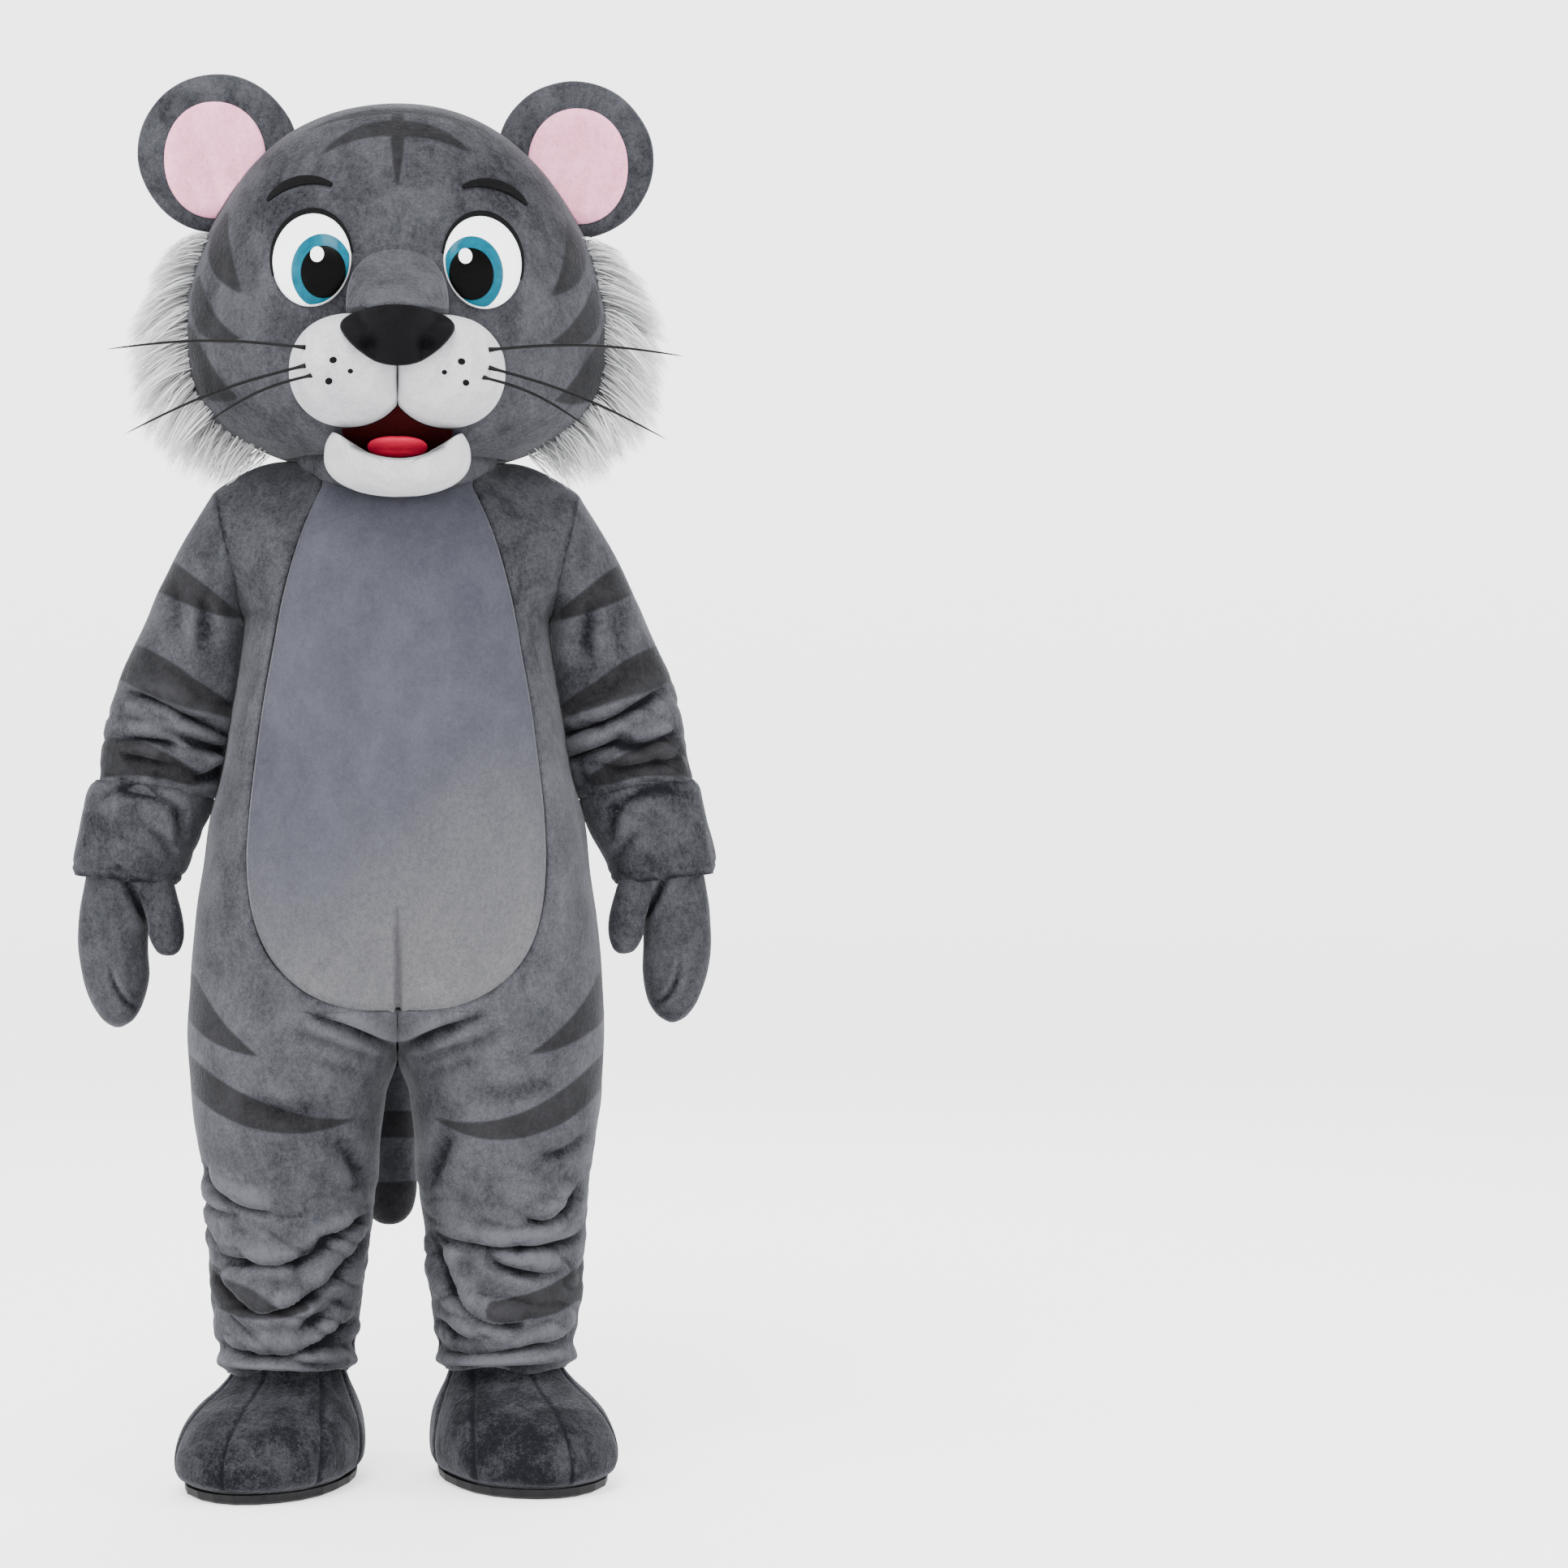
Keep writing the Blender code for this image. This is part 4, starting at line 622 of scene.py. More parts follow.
# ---------------------------------------------------------------- fronts and backs of the jumpsuit
# Four long panels of short grey plush from shoulder to hem, sewn at the inseams, side seams and down the
# middle. The legs sag in heavy folds over the shoe covers; dark bands are dyed into the legs.
LEG_FRONT_FOLDS = (
    # x, z of start, middle and end, then depth, width and hang
    (-262, 430, -232, 398, -170, 372, 18.2, 8.5, 0.8),
    (-268, 388, -238, 372, -205, 368, 8.1, 7, 0.4),
    (-246, 312, -150, 308, -95, 330, 14.2, 7.8, 0.8),
    (-130, 322, -75, 345, -40, 362, 10.8, 7, 0.5),
    (-246, 284, -160, 247, -40, 330, 17.5, 8.5, 1.0),
    (-236, 192, -150, 186, -52, 228, 16.2, 8, 0.9),
    (-162, 180, -115, 166, -70, 162, 8.1, 6, 0.4),
    (-142, 204, -112, 228, -88, 240, 8.1, 6.5, 0.4),
    (-236, 156, -150, 146, -60, 142, 8.8, 7, 0.3),
    (-85, 470, -58, 430, -48, 390, 6.8, 11, 0.0),
    (-210, 530, -150, 512, -100, 520, 4.7, 12, 0.2),
    (246, 400, 214, 366, 172, 360, 15.5, 8, 0.8),
    (50, 334, 140, 326, 246, 326, 14.2, 7.8, 0.8),
    (112, 316, 160, 292, 222, 286, 11.5, 7.5, 0.6),
    (52, 330, 90, 246, 170, 216, 17.5, 8.5, 0.9),
    (52, 216, 90, 200, 138, 204, 9.5, 6.5, 0.4),
    (58, 170, 140, 186, 246, 196, 15.5, 8, 0.8),
    (62, 150, 140, 152, 222, 160, 7.4, 6.5, 0.3),
    (80, 480, 58, 440, 50, 395, 6.8, 11, 0.0),
    (262, 478, 225, 452, 190, 446, 6.1, 10, 0.4),
    (216, 548, 160, 532, 110, 536, 4.7, 12, 0.2),
    # the pull of the crotch
    (-120, 642, -54, 616, -4, 588, 12, 8, 0.3),
    (-150, 622, -84, 600, -20, 572, 4, 9, 0.2),
    (-118, 582, -74, 566, -30, 552, 3, 8.5, 0.2),
    (118, 640, 52, 614, 4, 588, 11.5, 8, 0.3),
    (146, 618, 88, 598, 20, 572, 4.2, 9, 0.2),
    (112, 580, 68, 564, 28, 552, 3, 8.5, 0.2),
)
LEG_BACK_FOLDS = (
    (149, 599, 95, 594, 30, 604, 13.7, 8.5, 0.8),
    (228, 624, 170, 584, 115, 562, 14.3, 9, 0.7),
    (262, 541, 190, 452, 32, 510, 16.3, 9.5, 0.7),
    (33, 465, 80, 424, 116, 393, 11.1, 8.5, 0.4),
    (255, 380, 215, 352, 150, 352, 10.4, 8.5, 0.6),
    (236, 235, 150, 212, 60, 240, 12.3, 8.5, 0.7),
    (222, 172, 140, 162, 62, 176, 11.7, 8, 0.7),
    (112, 164, 85, 192, 63, 216, 8.4, 7, 0.2),
    (-47, 609, -112, 617, -184, 627, 13, 8.5, 0.8),
    (-250, 566, -150, 524, -45, 540, 10.4, 10, 0.5),
    (-255, 492, -170, 466, -70, 452, 12.3, 9.5, 0.6),
    (-262, 420, -215, 384, -150, 372, 11.1, 8.5, 0.6),
    (-240, 272, -150, 240, -62, 262, 11.1, 8.5, 0.6),
    (-70, 330, -110, 306, -170, 300, 8.4, 8, 0.4),
    (-81, 144, -150, 140, -244, 156, 12.3, 8, 0.6),
    (-60, 196, -130, 182, -210, 196, 10.4, 8, 0.6),
)
FRONT_BANDS = (
    # x, z of start, middle and end, then half widths there
    (-290, 668, -242, 616, -182, 583, 24, 16, 0),
    (-285, 560, -177, 501, -54, 495, 19, 18, 0),
    (-262, 274, -191, 249, -126, 246, 26, 20, 6),
    (292, 668, 240, 616, 172, 583, 24, 16, 0),
    (292, 562, 165, 488, 46, 497, 19, 17, 0),
    (258, 268, 185, 242, 127, 244, 20, 19, 6),
)
BACK_BANDS = (
    (285, 424, 190, 416, 100, 420, 24, 21, 12),
    (-285, 420, -170, 405, -52, 408, 22, 18, 0),
    (270, 272, 185, 262, 105, 260, 24, 18, 0),
    (-270, 270, -185, 262, -112, 260, 23, 17, 0),
)
leg_levels = np.concatenate((np.linspace(HEM, CROTCH, 124, endpoint=False),
                             np.linspace(CROTCH, BELLY_BOTTOM, 20, endpoint=False)))
panel_levels = np.concatenate((leg_levels, levels_up(50, 52, 34)))
panel_columns, panel_rows = 68, len(panel_levels) - 1
front_edges = np.where(panel_levels > BELLY_BOTTOM, belly_edge(panel_levels, SEAM), 0)
LEG_X = 0.148     # the ankle's middle


def facing(piece, face):
    """How much a point lies on one face: 1 on it, 0 on the other, and half on the side seams."""
    turn = unit(0.5 + face * points_of(piece)[:, 1] / 0.075)
    return turn ** 2 * (3 - 2 * turn)


def bulge_hem(piece, side, above, full):
    """Rounds out the roll of cloth that rests on the shoe cover, with light painted on the roll and shade in
    the crease over it; above is the distance over the hem.
    """
    points = points_of(piece)
    out = (points - (side * LEG_X, 0, 0)) * (1, 1, 0)
    out /= np.linalg.norm(out, axis=1)[:, None]
    low = full * (above < 0.08)
    swell = low * (0.0065 * bell(above - 0.016, 0.011)
                   - 0.0050 * bell(above - 0.041, 0.008))
    keep(piece, "nap_and_shade", low * (0.20 * bell(above - 0.018, 0.010)
                              - 0.50 * bell(above - 0.041, 0.007)))
    put_points(piece, points + out * swell[:, None])


def lay_panel(side, face):
    def place(u, v):
        row = np.rint(v * panel_rows).astype(int)
        part = u - 0.09 * np.sin(2 * pi * u) / pi
        start = front_edges[row] if face == FRONT else 0 * u
        power = 1 + 2 * np.clip(1 - start / 0.3, 0, None)
        across = part + start * (1 - part) ** power
        return body(side, face, across, panel_levels[row])

    return place


for label, side in SIDES:
    for name, face, bands in (("front_", FRONT, FRONT_BANDS), ("back_", BACK, BACK_BANDS)):
        panel = cloth("suit_" + name + label, panel_columns, panel_rows, lay_panel(side, face))
        face_away(panel, (side * 0.10, 0, 0.9))
        mark_bands(panel, bands)
        gaps = edge_gaps(panel, panel_columns, panel_rows)
        across, height = front_view(panel).T
        if face == FRONT:
            belly_gap = near_line(panel, belly_line)
            gaps[0] = np.where(height > BELLY_BOTTOM - 0.002, 1.0, gaps[0])
            # painted light: lighter from the crotch's V up to 0.70 m
            fork = unit((height - 0.594 - 0.55 * np.abs(across)) / 0.012) * (height < 0.70)
            keep(panel, "nap_and_shade", 0.22 * fork)
        slack = np.interp(height, (0.16, 0.20, 0.33, 0.42, 0.50), (0.2, 1, 1, 0.35, 0))
        slack *= unit(np.minimum(gaps[0], gaps[1]) / 0.02)
        rise = np.repeat(panel_levels, panel_columns + 1)
        chest = np.interp(rise, (1.10, 1.18, 1.325, 1.341), (0, 1, 1, 0))
        ease_across(panel, panel_columns, panel_rows, chest, 260)
        # painted light and shade by height: lighter round the middle, the fronts darker under the head, the
        # backs lighter than the fronts
        shades = (0.0, 0.06, 0.16, 0.10, -0.14) if face == FRONT else (0.04, 0.22, 0.34, 0.20, 0.08)
        keep(panel, "nap_and_shade", np.interp(height, (0.56, 0.62, 0.80, 1.02, 1.16), shades))
        press_folds(panel, LEG_FRONT_FOLDS, facing(panel, FRONT) * (
            unit(belly_gap / 0.018) if face == FRONT else 1))
        press_folds(panel, LEG_BACK_FOLDS, facing(panel, BACK))
        crumple(panel, slack * (1 if face == FRONT else 0.5), 0.0040, seed=3 * side + face)
        ripple(panel, 0.085, 0.0026, 11)
        raise_shoulders(panel)
        bulge_hem(panel, side, gaps[2], 1 if face == FRONT else 0.45)
        if face == FRONT:
            roll_edges(panel, [belly_gap], 0.0028, 0.0050, 0.30, inward=to_core(panel))
        roll_edges(panel, [gaps[0]], 0.0032, 0.0050, hold=1 - bell(height - 0.585, 0.03))
        roll_edges(panel, [gaps[1]], 0.0032, 0.0050, hold=np.interp(height, (1.12, 1.16), (1, 0.3)))
        roll_edges(panel, [gaps[2]], 0.0085, 0.010, 0.15)
        thicken(panel, CLOTH)
        put_on(panel, grey_plush, "grey_plush", name + label)


# ---------------------------------------------------------------- neck band
# A soft band of the same plush standing inside the neckline and up into the head.
COLLAR_TOP = 1.402


def lay_collar(u, v):
    angle = 2 * pi * u
    face = np.where(np.cos(angle) > 0, FRONT, BACK)
    inside = 0.0006     # clear of the neckline
    deep, middle = (np.where(face == FRONT, *pair) for pair in zip(NECKLINE_FRONT, NECKLINE_BACK))
    base = middle + (NECKLINE_SIDE_Z - middle) * np.sin(angle) ** 2 - 0.004
    full = 0.004 * np.sin(pi * v) - inside
    height = base + v * (COLLAR_TOP - base)
    return stack((NECKLINE_X + full) * np.sin(angle), -(deep + full) * np.cos(angle), height)


collar = cloth("neck_band", 120, 18, lay_collar)
face_away(collar, (0, 0, 1.37))
ripple(collar, 0.05, 0.0012, 5)
close_up(collar, 1e-5)
thicken(collar, CLOTH)
mark_bands(collar)
put_on(collar, grey_plush, "grey_plush", "collar")


# ---------------------------------------------------------------- sleeves
# Wide plush sleeves set in at low armholes and gathered into the cuffs; dyed bands start at the outer edge.
SLEEVE = np.array((
    # outer x, z      inner x, z     half depth
    (SHOULDER_X, SHOULDER_Z, 0.2100, ARMPIT, ARMHOLE_DEEP),
    (0.2766, 1.2989, 0.2150, 1.1350, 0.087),
    (0.3114, 1.2317, 0.2205, 1.0950, 0.088),
    (0.3472, 1.1556, 0.2255, 1.0550, 0.087),
    (0.3752, 1.0917, 0.2305, 1.0200, 0.085),
    (0.3925, 1.0301, 0.2365, 0.9850, 0.083),
    (0.4021, 0.9720, 0.2440, 0.9520, 0.079),
    (0.4075, 0.9350, 0.2600, 0.9200, 0.073),
    (0.4120, 0.9120, 0.2690, 0.8980, 0.070),
))
SLEEVE_FRONT_FOLDS = (
    (-262, 1195, -258, 1160, -262, 1118, 6.3, 9, 0.2),
    (-300, 1225, -296, 1180, -300, 1140, 3.7, 11, 0.2),
    (-366, 1070, -300, 1052, -222, 998, 13.7, 8.5, 0.8),
    (-312, 1022, -262, 1000, -226, 982, 10, 7.5, 0.6),
    (-384, 1006, -320, 1006, -298, 992, 10, 7.5, 0.6),
    (-372, 982, -335, 980, -290, 964, 7.5, 7, 0.4),
    (-276, 950, -255, 960, -232, 984, 7.5, 7, 0.2),
    (262, 1190, 256, 1150, 262, 1105, 6.9, 9, 0.2),
    (308, 1205, 300, 1165, 306, 1125, 3.7, 11, 0.2),
    (366, 1078, 300, 1044, 224, 1008, 13.1, 8.5, 0.8),
    (318, 1012, 270, 996, 228, 972, 10.6, 7.8, 0.6),
    (386, 1018, 330, 1000, 296, 998, 9.4, 7.5, 0.6),
    (384, 982, 340, 974, 292, 968, 7.5, 7, 0.4),
)
SLEEVE_BACK_FOLDS = (
    (-352, 1110, -300, 1080, -238, 1058, 11.2, 9, 0.7),
    (-380, 1040, -310, 1010, -246, 1006, 12.5, 8.5, 0.8),
    (-384, 992, -330, 972, -270, 972, 8.8, 7.5, 0.5),
    (-272, 1190, -258, 1150, -262, 1110, 6.3, 10, 0.2),
    (356, 1100, 300, 1084, 236, 1050, 11.9, 9, 0.7),
    (382, 1032, 320, 1014, 244, 998, 11.9, 8.5, 0.8),
    (388, 996, 330, 966, 276, 966, 8.8, 7.5, 0.5),
    (268, 1200, 258, 1155, 264, 1120, 6.3, 10, 0.2),
)
SLEEVE_BANDS = (
    (336, 1242, 262, 1196, 200, 1166, 25, 16, 0),
    (392, 1118, 296, 1082, 206, 1018, 29, 19, 0),
    (420, 978, 345, 979, 278, 952, 28, 23, 10),
)


def tube(table, side, turn, station):
    """Points round a tube whose table gives the ends of each section's long axis; turn 0 is the outer end."""
    out_x, out_z, in_x, in_z, depth = (curve(numbered(table), column, station) for column in range(1, 6))
    reach, drop = (out_x - in_x) / 2, (out_z - in_z) / 2
    angle = 2 * pi * turn
    return stack(side * ((out_x + in_x) / 2 + reach * np.cos(angle)), -depth * np.sin(angle),
                 (out_z + in_z) / 2 + drop * np.cos(angle))


def lay_sleeve(side):
    """A sleeve from the armhole down, its top turned in under the body's edge."""
    def place(u, v):
        turned_in = 0.02
        station = (len(SLEEVE) - 1) * np.clip(v - turned_in, 0, None) / (1 - turned_in)
        points = tube(SLEEVE, side, u + 0.5, station)
        lip = unit(1 - v / turned_in)[:, None]
        middle = np.array((side * ARMHOLE_X, 0, ARMHOLE_Z))
        return points + lip * (0.10 * (middle - points) - 0.013 * np.array((side * 0.976, 0, -0.216)))

    return place


def lean_on_body(sleeve, side):
    """Brings the sleeve's inner side up against the body, where the arm hangs on it."""
    points, height = points_of(sleeve), heights_of(sleeve)
    wide, deep = curve(BODY, 1, height), curve(BODY, 3, height) * 0.98
    limit = 0.0002 + wide * unit(1 - (np.abs(points[:, 1]) / deep) ** 2.3) ** (1 / 2.3)
    close = np.interp(height, (0.920, 0.934, 1.160, 1.172), (0, 1, 1, 0))
    inside = np.interp(height, SLEEVE[::-1, 3], SLEEVE[::-1, 2])
    inner = unit((inside + 0.046 - side * points[:, 0]) / 0.04)
    pulled = side * points[:, 0] - np.clip(inside - wide + 0.012, 0, 0.028) * close * inner
    pulled = np.where((height < 1.168) & (pulled < limit), limit, pulled)
    points[:, 0] = side * pulled
    put_points(sleeve, points)


for label, side in SIDES:
    sleeve = cloth("sleeve_cloth_" + label, 108, 120, lay_sleeve(side))
    face_away(sleeve, (side * 0.30, 0, 1.10))
    mark_bands(sleeve, mirrored(side, SLEEVE_BANDS))
    press_folds(sleeve, SLEEVE_FRONT_FOLDS, facing(sleeve, FRONT))
    press_folds(sleeve, SLEEVE_BACK_FOLDS, facing(sleeve, BACK))
    slack = 0.8 * np.interp(heights_of(sleeve), (0.90, 0.96, 1.05, 1.12), (0.6, 1, 0.7, 0))
    crumple(sleeve, slack, 0.0036, seed=9 * side)
    ripple(sleeve, 0.075, 0.0035, 17)
    lean_on_body(sleeve, side)
    # painted shade and light: the sleeve's front darker, its back lighter
    keep(sleeve, "nap_and_shade", 0.22 * facing(sleeve, BACK) - 0.12)
    close_up(sleeve)
    thicken(sleeve, CLOTH)
    put_on(sleeve, grey_plush, "grey_plush", "sleeve_" + label)


# ---------------------------------------------------------------- cuffs
# A deep turned band at each sleeve's end, two layers of plush with a rounded edge, sewn on over the gathers.
CUFF = np.array((
    (0.4110, 0.9530, 0.2472, 0.9350, 0.0800),
    (0.4200, 0.9300, 0.2520, 0.9120, 0.0790),
    (0.4290, 0.8900, 0.2700, 0.8700, 0.0765),
    (0.4385, 0.8450, 0.2880, 0.8260, 0.0740),
    (0.4400, 0.8220, 0.2960, 0.8060, 0.0710),
))
CUFF_FOLDS = (
    (404, 924, 345, 936, 282, 902, 6, 7, 0.4),
    (300, 916, 292, 890, 296, 862, 5.5, 7, 0.0),
    (330, 880, 310, 862, 300, 838, 4, 7, 0.0),
)
CUFF_WALL, cuff_columns, cuff_rows = 0.005, 96, 46
for label, side in SIDES:
    cuff = cloth("cuff_band_" + label, cuff_columns, cuff_rows,
                 lambda u, v: tube(CUFF, side, u + 0.5, (len(CUFF) - 1) * v))
    face_away(cuff, (side * 0.345, 0, 0.88))
    gaps = edge_gaps(cuff, cuff_columns, cuff_rows)
    mark_bands(cuff)
    # painted shade and light: the cuff's front darker, its back a little lighter
    keep(cuff, "nap_and_shade", 0.30 * facing(cuff, BACK) - 0.26)
    press_folds(cuff, mirrored(side, CUFF_FOLDS), facing(cuff, FRONT))
    crumple(cuff, np.full(len(cuff.data.vertices), 0.30), 0.0050, (0.08, 0.08, 0.05), 5 * side)
    ripple(cuff, 0.06, 0.0034, 23)
    roll_edges(cuff, [np.abs(gaps[3] - 0.015)], 0.0018, 0.0032, 0.10)
    roll_edges(cuff, gaps[2:], 0.0045, 0.007)
    close_up(cuff)
    thicken(cuff, CUFF_WALL)
    put_on(cuff, grey_plush, "grey_plush", "cuff_" + label)


# ---------------------------------------------------------------- gloves
# Soft mittens of the same plush: a padded hand with finger channels sewn in, and a thumb on its inner edge.
HAND = np.array((
    (0.4286, 0.8700, 0.2885, 0.8600, 0.0690),
    (0.4190, 0.8450, 0.3050, 0.8350, 0.0600),
    (0.4230, 0.8100, 0.3260, 0.8050, 0.0500),
    (0.4300, 0.7700, 0.3360, 0.7650, 0.0455),
    (0.4320, 0.7300, 0.3380, 0.7250, 0.0430),
    (0.4270, 0.6850, 0.3365, 0.6830, 0.0430),
    (0.4150, 0.6480, 0.3440, 0.6480, 0.0390),
    (0.4000, 0.6260, 0.3560, 0.6260, 0.0280),
    (0.3860, 0.6165, 0.3700, 0.6165, 0.0110),
    (0.3780, 0.6145, 0.3780, 0.6145, 0.0000),
))
THUMB = np.array((
    (0.3620, 0.8420, 0.3010, 0.8640, 0.0230),
    (0.3540, 0.8060, 0.3040, 0.8260, 0.0240),
    (0.3440, 0.7780, 0.2975, 0.7960, 0.0245),
    (0.3370, 0.7560, 0.2900, 0.7660, 0.0245),
    (0.3350, 0.7370, 0.2880, 0.7400, 0.0235),
    (0.3260, 0.7190, 0.2930, 0.7210, 0.0180),
    (0.3180, 0.7130, 0.3010, 0.7130, 0.0080),
    (0.3095, 0.7115, 0.3095, 0.7115, 0.0000),
))
HAND_FRONT_FOLDS = (
    (374, 838, 352, 790, 334, 748, 8, 5.5, 0.0),
    (388, 706, 376, 664, 350, 640, 6, 3.6, 0.0),
)
HAND_BACK_FOLDS = (
    (396, 740, 400, 690, 390, 636, 6, 3.8, 0.0),
    (368, 744, 364, 690, 366, 634, 6, 3.8, 0.0),
    (412, 760, 380, 752, 346, 752, 4, 7, 0.0),
)
THUMB_GAP = 0.0026     # how far the thumb keeps off the hand


def clear_of_hand(points, side):
    """Pushes the thumb's points out of the hand."""
    station = np.interp(-points[:, 2], -(HAND[:, 1] + HAND[:, 3]) / 2, np.arange(len(HAND)))
    out_x, in_x, deep = (curve(numbered(HAND), column, station) for column in (1, 3, 5))
    middle = side * (out_x + in_x) / 2
    half, deep = np.abs(out_x - in_x) / 2 + THUMB_GAP, deep + THUMB_GAP
    reach = np.hypot((points[:, 0] - middle) / half, points[:, 1] / deep)
    push = np.where(reach < 1, 1 / np.clip(reach, 0.2, None), 1)
    return stack(middle + (points[:, 0] - middle) * push, points[:, 1] * push, points[:, 2])


MITTEN_PARTS = (
    # name, form, how far forward it sits, columns and rows of cloth
    ("hand_", HAND, 0.0, 68, 62),
    ("thumb_", THUMB, 0.028, 40, 34),
)
for label, side in SIDES:
    for name, table, forward, columns, rows in MITTEN_PARTS:
        def lay_glove(u, v):
            points = tube(table, side, u + 0.5, (len(table) - 1) * (1 - (1 - v) ** 1.25))
            points[:, 1] -= forward
            return points if name == "hand_" else clear_of_hand(points, side)

        glove = cloth("mitten_" + name + label, columns, rows, lay_glove)
        face_away(glove, (side * (0.378 if name == "hand_" else 0.316), -forward, 0.75))
        mark_bands(glove)
        if name == "hand_":
            for folds, face in ((HAND_FRONT_FOLDS, FRONT), (HAND_BACK_FOLDS, BACK)):
                press_folds(glove, mirrored(side, folds), facing(glove, face))
        # painted shade: the whole mitten darker
        keep(glove, "nap_and_shade", -0.22)
        ripple(glove, 0.045, 0.0018, 29)
        close_up(glove)
        thicken(glove, CLOTH)
        put_on(glove, grey_plush, "grey_plush", "glove_" + name + label)


# ---------------------------------------------------------------- shoe covers
# Broad padded plush uppers over the wearer's shoes, sewn in long panels down to a thin black rubber sole.
SOLE_TOP, SHOE_TOP = 0.0143, 0.160
SHOE = np.array((
    # height wide   toe    heel
    (SOLE_TOP, 0.110, 0.232, 0.110),
    (0.035, 0.118, 0.243, 0.113),
    (0.062, 0.119, 0.236, 0.111),
    (0.088, 0.112, 0.210, 0.106),
    (0.110, 0.099, 0.170, 0.099),
    (0.127, 0.085, 0.122, 0.092),
    (0.142, 0.076, 0.090, 0.087),
    (SHOE_TOP, 0.072, 0.078, 0.083),
))
TOE_OUT = radians(17)


def lay_shoe(side, marks):
    """A shoe cover round the ankle, its seams drawn in as grooves; marks takes how deep each point lies."""
    def outline(turn, height):
        wide, toe, heel = (curve(SHOE, column, height) for column in (1, 2, 3))
        angle = 2 * pi * turn
        length, middle = (toe + heel) / 2, (toe - heel) / 2
        forward = middle + length * np.cos(angle)
        ball = 1 - 0.34 * np.clip((middle - forward) / length, 0, None) * (length - wide) / length
        across = wide * np.sin(angle) * ball * (1 + 0.06 * np.sin(2 * angle) ** 2)
        turned = side * TOE_OUT
        return stack(side * LEG_X + across * np.cos(turned) + forward * np.sin(turned),
                     across * np.sin(turned) - forward * np.cos(turned), height)

    def place(u, v):
        turn = u + 0.5
        height = SOLE_TOP + (SHOE_TOP - SOLE_TOP) * (v - 0.06 * np.sin(2 * pi * v))
        middle = (outline(0 * turn, height) + outline(0 * turn + 0.5, height)) / 2
        out = outline(turn, height) - middle
        length = np.linalg.norm(out, axis=1)
        groove = np.zeros(len(u))
        for seam in (-0.145, -0.015, 0.150, 0.265, 0.5):
            gap = (turn + side * seam + 0.5) % 1 - 0.5
            groove = np.maximum(groove, bell(gap * 2 * pi * length, 0.0042))
        marks.append(groove)
        groove = np.maximum(0.0042 * groove, 0.010 * bell(height - SOLE_TOP, 0.006))
        return middle + out * (1 - groove / length)[:, None]

    return place


FOAM = 0.008     # the padded wall of shoe covers and head
for label, side in SIDES:
    marks = []
    shoe = cloth("shoe_cover_" + label, 200, 44, lay_shoe(side, marks))
    # painted shade: darker all over, less at the back, and darkest in the seam grooves
    keep(shoe, "nap_and_shade", 0.50 * facing(shoe, BACK) - 0.66 - 0.45 * marks[0])
    face_away(shoe, (side * 0.155, -0.03, 0.06))
    mark_bands(shoe)
    ripple(shoe, 0.06, 0.0022, 31)
    close_up(shoe)
    thicken(shoe, FOAM)
    put_on(shoe, grey_plush, "grey_plush", "shoe_upper_" + label)


def coat(name, deep, light, roughness, gloss, bump, clouds, grains=None, share=0.0):
    """A plain finish, clouded between two tones; grains roughen it and may take a share in its tone.

    bump is strength and depth; clouds and grains are each a scale and a detail.
    """
    material, tree, shader = blank(name, roughness, gloss)
    place = wire(tree, "TexCoord", "Object", {})
    cloud = wire(tree, "TexNoise", "Fac", {"Vector": place, "Scale": clouds[0], "Detail": clouds[1]})
    tone = grain = cloud
    if grains:
        grain = wire(tree, "TexNoise", "Fac", {"Vector": place, "Scale": grains[0], "Detail": grains[1]})
    if share:
        rest = wire(tree, "Math", "Value", {0: cloud, 1: 1 - share}, operation="MULTIPLY")
        tone = wire(tree, "Math", "Value", {0: grain, 1: share, 2: rest}, operation="MULTIPLY_ADD")
    cover(tree, shader, blend(tree, tone, deep, light), grain, *bump)
    return material


rubber = coat("sole_rubber", (0.003, 0.003, 0.0033), (0.014, 0.014, 0.015), 0.6, 0.12, (0.3, 0.001), (60, 6))
for label, side in SIDES:
    for slot in bpy.data.objects["shoe_sole_" + label].material_slots:
        slot.material = rubber


# ---------------------------------------------------------------- tail
# A stuffed plush tube sewn to the seat over the middle seam, bent down at its root, with dyed bands.
TAIL = np.array((
    # x      y      z      radius
    (-0.004, 0.176, 0.847, 0.0350),
    (-0.004, 0.206, 0.843, 0.0375),
    (-0.005, 0.222, 0.833, 0.0385),
    (-0.005, 0.233, 0.817, 0.0390),
    (-0.005, 0.238, 0.795, 0.0395),
    (-0.006, 0.241, 0.740, 0.0400),
    (-0.008, 0.240, 0.560, 0.0400),
    (-0.011, 0.236, 0.430, 0.0400),
    (-0.012, 0.235, 0.385, 0.0398),
    (-0.012, 0.234, 0.358, 0.0388),
    (-0.012, 0.2335, 0.338, 0.0345),
    (-0.012, 0.233, 0.324, 0.0260),
    (-0.012, 0.233, 0.3155, 0.0140),
    (-0.012, 0.233, 0.3125, 0.0000),
))


